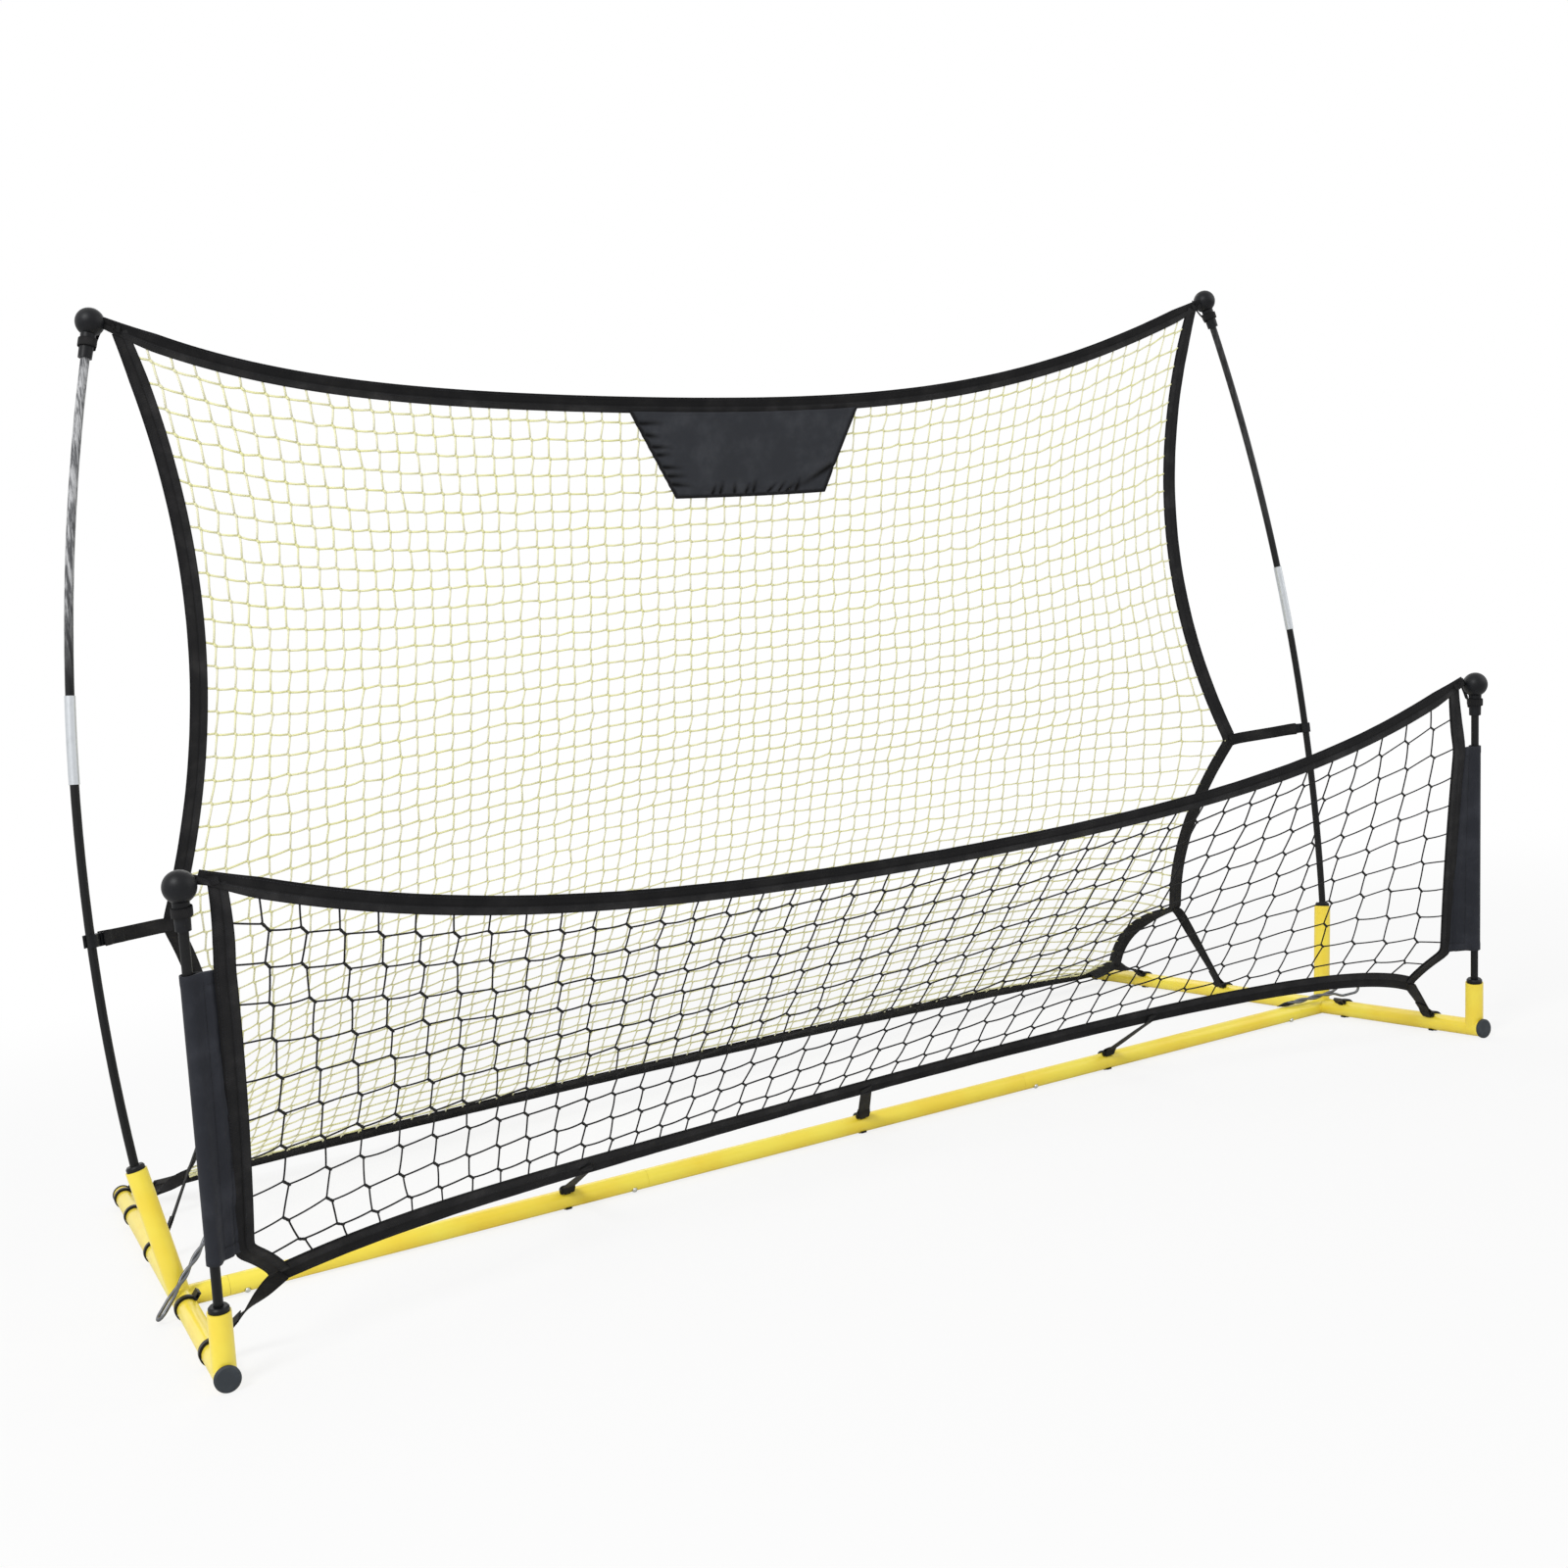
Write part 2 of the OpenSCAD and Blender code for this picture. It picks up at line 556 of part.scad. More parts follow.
// Webbing loop round the neck under a ball, with a tab to the net's corner
module neck_loop() difference() {
    cylinder(d = neck_d + 2 * seat + 2 * strap_t, h = loop_h, center = true, $fn = 48);
    cylinder(d = neck_d + 2 * seat, h = loop_h + 2, center = true, $fn = 48);
}
loop_h = 10;
tab_w = 8;
loop_drop = 26;
// The tab runs straight across to the net's side webbing
module loop_tab(centre, edge) {
    flat = unit([edge[0] - centre[0], edge[1] - centre[1], 0]);
    start = centre + flat * (neck_d / 2 + seat + strap_t);
    strap(start, edge - flat * (seat + hem_t / 2), [0, 0, 1], [0, 0, 1], tab_w);
}
module tall_loop() color(black) {
    at_tall() on_bow(tall_len - loop_drop) neck_loop();
    loop_tab(on_tall(tall_len - loop_drop), big_point(1 + big_hu, 16 / big_side_len));
}
module short_loop() color(black) {
    at_short() translate([0, 0, short_len - loop_drop]) neck_loop();
    loop_tab(on_short(short_len - loop_drop), low_point(1 + low_hu, 27 / low_side_len));
}

// Clip that snaps round a tall pole and holds the strap from the net
clip_way = unit([-clip_strap[0], -clip_strap[1], 0]);
clip_r = pole_r + seat + clip_wall;
module pole_clip(at) color(black) translate(on_tall(at))
    rotate([0, 0, atan2(clip_way[1], clip_way[0])]) linear_extrude(clip_h, center = true) difference() {
        union() {
            circle(clip_r, $fn = 48);
            translate([0, -clip_wall / 2 - 1]) square([clip_r + 4, clip_wall + 2]);
            translate([clip_r + 3, -4]) square([lug_len, 8]);
        }
        circle(pole_r + seat + 0.3, $fn = 48);
        polygon([[0, 0], [-3 * clip_r, 2 * clip_r], [-3 * clip_r, -2 * clip_r]]);
        translate([clip_r + 6, -2]) square([lug_len - 5, 4]);
    }

// Hook round a base tube, seen along the tube: it opens towards its strap, on the +X side
hook_in = tube_r + seat;
hook_rise = (hook_thick - hook_thin) / 2;
hook_out = hook_in + (hook_thick + hook_thin) / 2;
module tube_hook() color(black) {
    mouth = 3 * hook_out;
    linear_extrude(hook_w, center = true) {
        difference() {
            translate([0, hook_rise]) circle(hook_out, $fn = 64);
            circle(hook_in, $fn = 64);
            polygon([[0, 0], mouth * [cos(-52), sin(-52)], [mouth, 0], mouth * [cos(38), sin(38)]]);
        }
        rotate(-55) translate([hook_in + 1.1, 0]) circle(1.3, $fn = 24);
    }
    rotate(lug_turn) translate([hook_in + 1.6, 0, 0]) linear_extrude(lug_w, center = true) difference() {
        translate([0, -2.2]) square([lug_len, 4.4]);
        translate([2.4, -1]) square([lug_len - 4.8, 2]);
    }
}
module skid_hook(y) at_right_tee() translate([0, y, 0]) rotate([90, 0, 180]) tube_hook();
module skid_hooks() for (y = [hook_front, hook_tee, hook_b, hook_c, hook_d]) skid_hook(y);
module cross_hook(x) at_tee() translate([x, 0, 0]) rotate([90, 0, 90]) mirror([1, 0, 0]) tube_hook();

// Where a strap meets a hook's lug, seen from the tube's centre line
lug_turn = 52;
lug_out = hook_in + 1.6 + lug_len + seat + strap_t / 2;
function skid_lug(y) = [hx - lug_out * cos(lug_turn), tee_y + y, axis_z + lug_out * sin(lug_turn)];
function cross_lug(x) = [x, tee_y - lug_out * cos(lug_turn), axis_z + lug_out * sin(lug_turn)];

module side_straps(clip_at) color(black) {
    way = unit(clip_strap);
    reach = clip_r + 3 + lug_len + seat;
    edge_clip = big_point(1 + big_hu, big_marks[1]);
    strap(on_tall(clip_at) + clip_way * reach, edge_clip + way * (seat + hem_t / 2), [0, 0, 1], [0, 0, 1]);
    skid_strap(hook_b, big_point(1 + big_hu, big_marks[2]), [0, 1, -0.5]);
    skid_strap(hook_c, big_point(1 + big_hu, big_marks[3]), [0, 1, -0.2]);
    skid_strap(hook_d, big_point(1 + big_hu, 1), [0, 1, 0], 1.6);
    skid_strap(hook_front, low_point(1 + low_hu, 1), [0.4, 1, 0]);
}
module skid_strap(y, corner, across, clear = 0)
    strap(skid_lug(y) + clear * unit(skid_lug(y) - [hx, tee_y + y, axis_z]),
        corner + unit(skid_lug(y) - corner) * (seat + hem_t / 2 + strap_t / 2), [0, 1, 0], across);

module front_strap_set() color(black) for (x = cross_hooks)
    strap(cross_lug(x), hem_above(x) + unit(cross_lug(x) - hem_above(x)) * (seat + hem_t / 2 + strap_t / 2),
        [1, 0, 0], hem_above(x + 9) - hem_above(x - 9));
function hem_above(x) = low_point((x / low_bottom[0] + 1) / 2, 1 + low_hv);

// ---- Ground stakes: a long closed wire eye with a twisted shank, along -Y from the eye's end ----
stake_tip = 16;
module stake() {
    r = wire_d / 2;
    half = eye_w / 2;
    shank_r = 1.6 * r;
    leg = eye_len - 2 * half;
    shank = stake_len - stake_tip - leg - half;
    for (end = [0, 1]) translate([0, -end * leg, 0]) rotate([0, 0, 180 * end])
        rotate_extrude(angle = 180, $fn = 48) translate([half, 0]) circle(r, $fn = 24);
    for (side = [-1, 1])
        translate([side * half, 0, 0]) rotate([90, 0, 0]) cylinder(r = r, h = leg, $fn = 24);
    translate([0, -leg - half, 0]) rotate([90, 0, 0]) {
        cylinder(r = shank_r, h = shank, $fn = 24);
        translate([0, 0, shank]) cylinder(r1 = shank_r, r2 = 0.8, h = stake_tip, $fn = 24);
    }
}
// The right stake lies across the tee with its eye on edge, the left one leans over its skid.
lying_turn = 110;
lying_tilt = 5.3;
module lying_stake()
    translate([hx + 32, tee_y - 42, axis_z + tube_r + seat + 14.7]) rotate([0, 0, -lying_turn])
        rotate([lying_tilt, 0, 0]) rotate([0, 90, 0]) stake();
module leaning_stake() translate([-hx, tee_y - 36.8, axis_z]) rotate([0, -45, 0])
    translate([-20, 0, tube_r + 0.8 * wire_d + seat]) rotate([0, 0, 113]) stake();

module mirrored() mirror([1, 0, 0]) children();

mirrored() skid();  // left_skid
skid();  // right_skid
mirrored() cross_side();  // cross_tube_left
cross_middle();  // cross_tube_middle
cross_side();  // cross_tube_right
snap_button(-(hx - tee_stub - button_from_seam), -1);  // left_tee_button
snap_button(-(cross_mid / 2 + button_from_seam), 1);  // left_seam_button
snap_button(cross_mid / 2 + button_from_seam, -1);  // right_seam_button
snap_button(hx - tee_stub - button_from_seam, 1);  // right_tee_button
mirrored() end_cap(-skid_front, -1);  // left_front_cap
end_cap(-skid_front, -1);  // right_front_cap
mirrored() end_cap(skid_rear, 1);  // left_rear_cap
end_cap(skid_rear, 1);  // right_rear_cap
mirrored() tall_bush();  // left_tall_bush
tall_bush();  // right_tall_bush
mirrored() short_bush();  // left_short_bush
short_bush();  // right_short_bush
mirrored() lower_pole();  // left_lower_pole
lower_pole();  // right_lower_pole
mirrored() upper_pole();  // left_upper_pole
upper_pole();  // right_upper_pole
mirrored() ferrule();  // left_ferrule
ferrule();  // right_ferrule
mirrored() tall_ball();  // left_tall_ball
tall_ball();  // right_tall_ball
mirrored() short_pole();  // left_short_pole
short_pole();  // right_short_pole
mirrored() short_ball();  // left_short_ball
short_ball();  // right_short_ball
big_net();
big_hem(0);  // big_net_top_hem
mirrored() big_side_hem();  // big_net_left_hem
big_side_hem();  // big_net_right_hem
big_hem(1);  // big_net_bottom_hem
patch();  // centre_patch
front_net();
low_hem(0);  // front_net_top_hem
mirrored() low_side_hem();  // front_net_left_hem
low_side_hem();  // front_net_right_hem
low_hem(1);  // front_net_bottom_hem
mirrored() sleeve();  // left_sleeve
sleeve();  // right_sleeve
union() { tall_loop(); mirrored() tall_loop(); }  // tall_corner_loops
union() { short_loop(); mirrored() short_loop(); }  // short_corner_loops
mirrored() pole_clip(left_clip_at);  // left_pole_clip
pole_clip(right_clip_at);  // right_pole_clip
mirrored() side_straps(left_clip_at);  // left_straps
side_straps(right_clip_at);  // right_straps
front_strap_set();  // front_straps
mirrored() skid_hooks();  // left_skid_hooks
skid_hooks();  // right_skid_hooks
for (x = cross_hooks) cross_hook(x);  // cross_tube_hooks
leaning_stake();  // left_stake
lying_stake();  // right_stake
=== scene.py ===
"""Dresses a pitch back rebounder: steel base, bowed poles, two webbed nets and their fastenings."""

import logging
import math
import sys
from dataclasses import dataclass, replace
from enum import Enum
from typing import Any, ClassVar

import bpy
import numpy as np
from mathutils import Matrix, Vector


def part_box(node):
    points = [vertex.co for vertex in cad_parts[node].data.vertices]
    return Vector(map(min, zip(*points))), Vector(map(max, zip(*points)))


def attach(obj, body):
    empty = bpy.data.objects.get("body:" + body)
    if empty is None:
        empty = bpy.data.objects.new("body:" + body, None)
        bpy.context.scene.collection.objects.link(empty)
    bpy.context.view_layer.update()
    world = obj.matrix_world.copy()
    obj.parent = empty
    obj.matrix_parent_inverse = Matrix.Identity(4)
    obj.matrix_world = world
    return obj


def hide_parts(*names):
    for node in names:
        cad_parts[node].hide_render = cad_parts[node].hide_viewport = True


Array = np.ndarray
Point = tuple[float, float, float]
Colour = tuple[float, float, float]

log = logging.getLogger("rebounder")
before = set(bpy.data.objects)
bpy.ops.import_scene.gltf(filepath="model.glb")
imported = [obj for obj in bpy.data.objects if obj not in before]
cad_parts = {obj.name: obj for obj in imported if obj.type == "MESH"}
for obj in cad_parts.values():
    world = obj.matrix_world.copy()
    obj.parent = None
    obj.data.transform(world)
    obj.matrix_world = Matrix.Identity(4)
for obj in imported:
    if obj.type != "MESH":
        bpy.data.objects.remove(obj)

SEED = 7
BODY = "rebounder"
TURN = 2 * math.pi
WHITE = (1.0, 1.0, 1.0)
UP = np.array([0.0, 0.0, 1.0])
FLIP = np.array([-1.0, 1.0, 1.0])
SKID_X = 0.905  # the right skid's middle line
TEE_Y = -0.10064  # the cross tube's middle line
AXIS_Z = 0.014  # the height of both
TUBE_R = 0.0125
SEAT = 0.0003  # the gap under what is clipped or wound on
TACK_PITCH = 0.003  # from stitch to stitch where a strap is sewn down
TACK_BARE = 0.001  # the bare ends of those short rows


class Side(Enum):
    """A side of the rebounder, as the sign of its x."""

    LEFT = -1
    RIGHT = 1

    @property
    def word(self) -> str:
        """The side's word in the names of pieces."""
        return self.name.lower()

    @property
    def flip(self) -> Array:
        """What turns a point of the right side into this side's."""
        return np.array([self.value, 1.0, 1.0])

    @property
    def u(self) -> float:
        """The share of a net's width at which this side lies."""
        return (1.0 + self.value) / 2


def record_bounds() -> None:
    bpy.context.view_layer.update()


def unit(v: Array) -> Array:
    """Scales vectors along their last axis to length one."""
    return v / np.maximum(np.linalg.norm(v, axis=-1, keepdims=True), 1e-12)


def blend(a: Array, b: Array, t: Array | float) -> Array:
    """Goes from a to b as t goes from 0 to 1, point by point."""
    share = np.asarray(t, float)[..., None]
    return a * (1 - share) + b * share


def eased(t: Array | float) -> Array | float:
    """Goes from 0 to 1 with t, level at both ends."""
    return t**2 * (3 - 2 * t)


def distances(line: Array) -> Array:
    """How far along a line each of its points is."""
    return np.concatenate([[0.0], np.cumsum(np.linalg.norm(np.diff(line, axis=0), axis=1))])


def sample(line: Array, run: Array, at: Array) -> Array:
    """A line's values at other distances along it, run being its own."""
    return np.stack([np.interp(at, run, line[:, k]) for k in range(3)], axis=1)


def softened(line: Array, times: int) -> Array:
    """Rounds a line's corners without moving its ends.

    Args:
        line: its points.
        times: how often each point goes halfway to the mean of its neighbours.

    Returns:
        As many points.
    """
    for _ in range(times):
        line = np.concatenate([line[:1], (line[:-2] + 2 * line[1:-1] + line[2:]) / 4, line[-1:]])
    return line


def evened(rough: Array, step: float, times: int, fewest: int = 8) -> Array:
    """Turns a line of few points into one with even steps and soft bends.

    Args:
        rough: the few points.
        step: the distance from one point to the next.
        times: how often its bends are softened.
        fewest: how many points a short line has.

    Returns:
        The new points.
    """
    run = distances(rough)
    at = np.linspace(0, run[-1], max(int(run[-1] / step), fewest))
    return softened(sample(rough, run, at), times)


def ripple(along: Array, across: Array, seed: int, waves: float, size: float) -> Array:
    """A slow wander of cloth, from a few sines with fixed random phases.

    Args:
        along: places along the piece, in metres.
        across: places across it, of the same shape.
        seed: which wander it is.
        waves: waves a metre of the slowest sine.
        size: the height in metres that it stays within.

    Returns:
        Heights of the same shape.
    """
    draw = np.random.default_rng(SEED + seed)
    total = np.zeros(np.broadcast(along, across).shape)
    highest = 2.1  # a little over the sum of 1 / k
    for k in range(1, 5):
        phase, lean = draw.uniform(0, TURN), draw.uniform(-0.8, 0.8)
        total = total + np.sin(TURN * waves * k * 0.8 * (along + lean * across) + phase) / k
    return total * size / highest


def srgb(red: float, green: float, blue: float) -> Colour:
    """Turns a colour given from 0 to 255 into the linear values that shaders use."""
    parts = (red / 255, green / 255, blue / 255)
    return tuple(c / 12.92 if c <= 0.04045 else ((c + 0.055) / 1.055) ** 2.4 for c in parts)


# --- shader maths


class Value:
    """A shader socket that takes part in Python arithmetic, with numbers and with its like."""

    def __init__(self, shader: "Shader", socket: bpy.types.NodeSocket) -> None:
        """Wraps one output socket of a shader's node."""
        self.shader = shader
        self.socket = socket

    def _math(self, operation: str, *terms: "Value | float") -> "Value":
        """Adds a Math node for one operation."""
        return self.shader.add("ShaderNodeMath", dict(enumerate(terms)), operation=operation)

    def __add__(self, other: "Value | float") -> "Value":
        """self + other."""
        return self._math("ADD", self, other)

    def __sub__(self, other: "Value | float") -> "Value":
        """self - other."""
        return self._math("SUBTRACT", self, other)

    def __rsub__(self, other: "Value | float") -> "Value":
        """other - self."""
        return self._math("SUBTRACT", other, self)

    def __mul__(self, other: "Value | float") -> "Value":
        """self * other."""
        return self._math("MULTIPLY", self, other)

    __radd__ = __add__
    __rmul__ = __mul__

    def sine(self) -> "Value":
        """The sine of the socket's value."""
        return self._math("SINE", self)

    def most(self, other: "Value | float") -> "Value":
        """The greater of the two."""
        return self._math("MAXIMUM", self, other)

    def ramp(self, low: float, high: float) -> "Value":
        """0 at low, 1 at high, smooth in between and held outside."""
        ends = {"Value": self, "From Min": low, "From Max": high}
        return self.shader.add("ShaderNodeMapRange", ends, interpolation_type="SMOOTHSTEP")


class Shader:
    """The nodes of one material or of the world."""

    def __init__(self, owner: bpy.types.Material | bpy.types.World) -> None:
        """Clears what the owner has.

        Args:
            owner: the material or the world.
        """
        owner.use_nodes = True
        self.tree = owner.node_tree
        self.tree.nodes.clear()

    def node(
        self, kind: str, inputs: dict[str | int, Any] | None = None, **settings: Any
    ) -> bpy.types.Node:
        """Adds any node.

        Args:
            kind: the node's Blender type.
            inputs: what goes into each socket, a Value or a constant.
            **settings: the node's own attributes, which are set before its sockets.

        Returns:
            The new node.
        """
        node = self.tree.nodes.new(kind)
        for key, value in settings.items():
            setattr(node, key, value)
        for key, value in (inputs or {}).items():
            socket = node.inputs[key]
            if isinstance(value, Value):
                self.tree.links.new(value.socket, socket)
            else:
                socket.default_value = (*value, 1.0) if socket.type == "RGBA" else value
        return node

    def add(
        self,
        kind: str,
        inputs: dict[str | int, Any] | None = None,
        output: str | int = 0,
        **settings: Any,
    ) -> Value:
        """One output of a new node, made from the same words as node() takes."""
        return Value(self, self.node(kind, inputs, **settings).outputs[output])

    def place(self) -> Value:
        """Where a point is, in metres in the object's own frame."""
        return self.add("ShaderNodeTexCoord", output="Object")

    def way(self) -> tuple[Value, Value, Value]:
        """How far along and across its piece a point is, in metres, as the mesh says, and a third
        value: how far round it, or how much painted shade it gets.
        """
        return self.split(self.add("ShaderNodeAttribute", output="Vector", attribute_name="way"))

    def split(self, vector: Value) -> tuple[Value, Value, Value]:
        """The three parts of a vector."""
        parts = self.node("ShaderNodeSeparateXYZ", {0: vector}).outputs
        return tuple(Value(self, part) for part in parts)

    def noise(self, where: Value, scale: float, detail: float = 2.0, rough: float = 0.5) -> Value:
        """Smooth noise from 0 to 1, with that many lumps a metre."""
        inputs = {"Vector": where, "Scale": scale, "Detail": detail, "Roughness": rough}
        return self.add("ShaderNodeTexNoise", inputs)

    def stretched(self, where: Value, scale: Point) -> Value:
        """The place, multiplied part by part."""
        return self.add("ShaderNodeVectorMath", {0: where, 1: scale}, operation="MULTIPLY")

    def mix(self, factor: Value, a: Value | Colour, b: Value | Colour) -> Value:
        """Goes from colour a to colour b as the factor goes from 0 to 1."""
        return self.add("ShaderNodeMix", {0: factor, 6: a, 7: b}, output=2, data_type="RGBA")

    def bump(self, height: Value, depth: float) -> Value:
        """A normal from a height, whose 0 to 1 is that many metres."""
        return self.add("ShaderNodeBump", {"Height": height, "Distance": depth})

    def close(self, colour: Value, roughness: Value, normal: Value, **constants: float) -> None:
        """Ends the material in a Principled shader.

        Args:
            colour: the base colour.
            roughness: how dull it is.
            normal: what bends the light.
            **constants: other sockets, with underscores for spaces.
        """
        inputs = {key.replace("_", " "): value for key, value in constants.items()}
        inputs |= {"Base Color": colour, "Roughness": roughness, "Normal": normal}
        self.end(self.add("ShaderNodeBsdfPrincipled", inputs))

    def end(self, surface: Value, kind: str = "ShaderNodeOutputMaterial") -> None:
        """Makes a surface what is seen."""
        self.node(kind, {"Surface": surface})


# --- finishes


@dataclass(frozen=True)
class PaintedSteel:
    """Powder-coated tube: glossy, faintly pebbled, a little scuffed."""

    colour: Colour = srgb(255, 236, 82)
    deep: Colour = srgb(252, 222, 62)
    rubbed_and_sheen: Colour = srgb(214, 190, 110)
    rub: float = 0.22
    pebbles: float = 900.0
    pebble: float = 0.00006
    coat: float = 0.25

    def dress(self, s: Shader) -> None:
        """Adds the finish's nodes.

        Args:
            s: the material.
        """
        where = s.place()
        cloud = s.noise(where, 9.0, 3.0)
        scuff = s.noise(s.stretched(where, (1.0, 0.25, 1.0)), 150.0, 4.0, 0.7).ramp(0.66, 0.74)
        colour = s.mix(cloud.ramp(0.35, 0.7), self.colour, self.deep)
        colour = s.mix(scuff * self.rub, colour, self.rubbed_and_sheen)
        height = s.noise(where, self.pebbles) - scuff * 0.5
        rough = 0.3 + cloud * 0.08 + scuff * 0.25
        s.close(colour, rough, s.bump(height, self.pebble), Coat_Weight=self.coat)


@dataclass(frozen=True)
class MouldedPlastic:
    """Injection-moulded plastic with a fine spark-eroded grain."""

    colour: Colour
    worn_and_sheen: Colour
    roughness: float
    shine: float = 0.4
    grains: float = 2600.0
    grain: float = 0.00005

    def dress(self, s: Shader) -> None:
        """Adds the finish's nodes.

        Args:
            s: the material.
        """
        where = s.place()
        cloud = s.noise(where, 60.0, 3.0)
        colour = s.mix(cloud.ramp(0.4, 0.75) * 0.6, self.colour, self.worn_and_sheen)
        rough = self.roughness + cloud * 0.12 - 0.06
        grain = s.bump(s.noise(where, self.grains), self.grain)
        s.close(colour, rough, grain, Specular_IOR_Level=self.shine)


@dataclass(frozen=True)
class GlassFibre:
    """Pultruded rod: black resin over lengthwise strands, with a painted grey sheen in streaks on
    the upper part of the poles, almost only on the left one.
    """

    colour: Colour = srgb(12, 13, 14)
    strand: Colour = srgb(34, 35, 38)
    # Painted sheen: the two greys of its streaks, the heights between which it comes in, and how
    # much of it the right pole keeps.
    worn_and_sheen: Colour = srgb(86, 87, 90)
    rubbed_and_sheen: Colour = srgb(188, 189, 191)
    sheen_from: float = 0.74
    sheen_to: float = 0.9
    sheen_right: float = 0.08
    strands: float = 1400.0
    streaks: float = 300.0
    depth: float = 0.00008
    shine: float = 0.25

    def dress(self, s: Shader) -> None:
        """Adds the finish's nodes.

        Args:
            s: the material.
        """
        where = s.place()
        aside, _, height = s.split(where)
        strands = s.noise(s.stretched(where, (1.0, 1.0, 0.02)), self.strands, 3.0, 0.6)
        streaks = s.noise(s.stretched(where, (1.0, 1.0, 0.09)), self.streaks, 4.0, 0.7)
        # Painted sheen: lighter grey streaks on the poles' upper part, almost only on the left
        # pole.
        left = 1.0 - aside.ramp(-0.6, 0.6) * (1 - self.sheen_right)
        worn_and_sheen = height.ramp(self.sheen_from, self.sheen_to) * left
        colour = s.mix(strands.ramp(0.5, 0.8) * 0.5, self.colour, self.strand)
        rubbed_and_sheen = s.mix(streaks.ramp(0.4, 0.62), self.worn_and_sheen, self.rubbed_and_sheen)
        colour = s.mix(worn_and_sheen * (0.75 + streaks * 0.3), colour, rubbed_and_sheen)
        rough = 0.3 + strands * 0.16 + streaks * 0.06
        s.close(colour, rough, s.bump(strands, self.depth), Specular_IOR_Level=self.shine)


@dataclass(frozen=True)
class BrightMetal:
    """Drawn or plated metal with fine lines along one direction."""

    colour: Colour
    along: float
    roughness: float
    dull: float = 0.72
    lines: float = 1500.0
    depth: float = 0.00003

    def dress(self, s: Shader) -> None:
        """Adds the finish's nodes.

        Args:
            s: the material.
        """
        where = s.place()
        lines = s.noise(s.stretched(where, (1.0, 1.0, self.along)), self.lines)
        tarnish = s.noise(where, 90.0, 3.0)
        dulled = tuple(c * self.dull for c in self.colour)
        colour = s.mix(tarnish.ramp(0.5, 0.8) * 0.5, self.colour, dulled)
        rough = self.roughness + lines * 0.12 + tarnish * 0.08
        s.close(colour, rough, s.bump(lines, self.depth), Metallic=0.9)


class Weave(Enum):
    """How a cloth is woven, as threads a metre along and across, and how far its rows slant."""

    WEBBING = (900.0, 1300.0, 0.55)
    OXFORD = (1500.0, 1500.0, 0.0)
    NYLON = (2600.0, 2600.0, 0.0)


@dataclass(frozen=True)
class WovenCloth:
    """Cloth whose weave follows its own length and width, darkened by painted shade where its mesh
    asks for it.
    """

    colour: Colour
    lit: Colour
    weave: Weave
    depth: float
    roughness: float
    # shade and dark: how far painted shade darkens it, and the colour that it darkens towards.
    shade: float = 0.0
    sheen: float = 0.05
    shine: float = 0.12
    dark: Colour = srgb(8, 8, 10)

    def dress(self, s: Shader) -> None:
        """Adds the finish's nodes.

        Args:
            s: the material.
        """
        along, across, crease = s.way()
        warp, weft, slant = self.weave.value
        rows = along * (math.pi * warp)
        if slant:
            rows = rows + across * (math.pi * weft * slant)
        threads = rows.sine() * (across * (math.pi * weft)).sine()
        where = s.place()
        cloud = s.noise(where, 26.0, 4.0, 0.6)
        height = threads * 0.35 + 0.5 + s.noise(where, 1800.0) * 0.3
        tone = height * 0.55 + cloud.ramp(0.35, 0.75) * 0.45
        colour = s.mix(tone.ramp(0.3, 1.1), self.colour, self.lit)
        # Painted shade: darker by the mesh's third way value, which marks creases, seams and the
        # webbing's edges.
        colour = s.mix(crease * self.shade, colour, self.dark)
        rough = self.roughness - cloud * 0.12
        bump = s.bump(height, self.depth)
        s.close(colour, rough, bump, Sheen_Weight=self.sheen, Specular_IOR_Level=self.shine)


@dataclass(frozen=True)
class TwistedCord:
    """Laid cord: strands that wind round it; cords that run across take more of the tint."""

    colour: Colour
    shade: Colour
    tint: Colour
    lay: float = 0.0032
    depth: float = 0.0002
    shine: float = 0.2

    def dress(self, s: Shader) -> None:
        """Adds the finish's nodes.

        Args:
            s: the material.
        """
        along, across, around = s.way()
        strands = ((along * (1 / self.lay) + around * 2.0) * TURN).sine()
        cloud = s.noise(s.place(), 34.0, 3.0)
        colour = s.mix(cloud.ramp(0.35, 0.65) * 0.5 + across * 0.5, self.colour, self.tint)
        colour = s.mix((0.5 - strands * 0.5) * 0.5, colour, self.shade)
        bump = s.bump(strands * 0.5 + 0.5, self.depth)
        s.close(colour, 0.75 + strands * 0.08, bump, Specular_IOR_Level=self.shine)


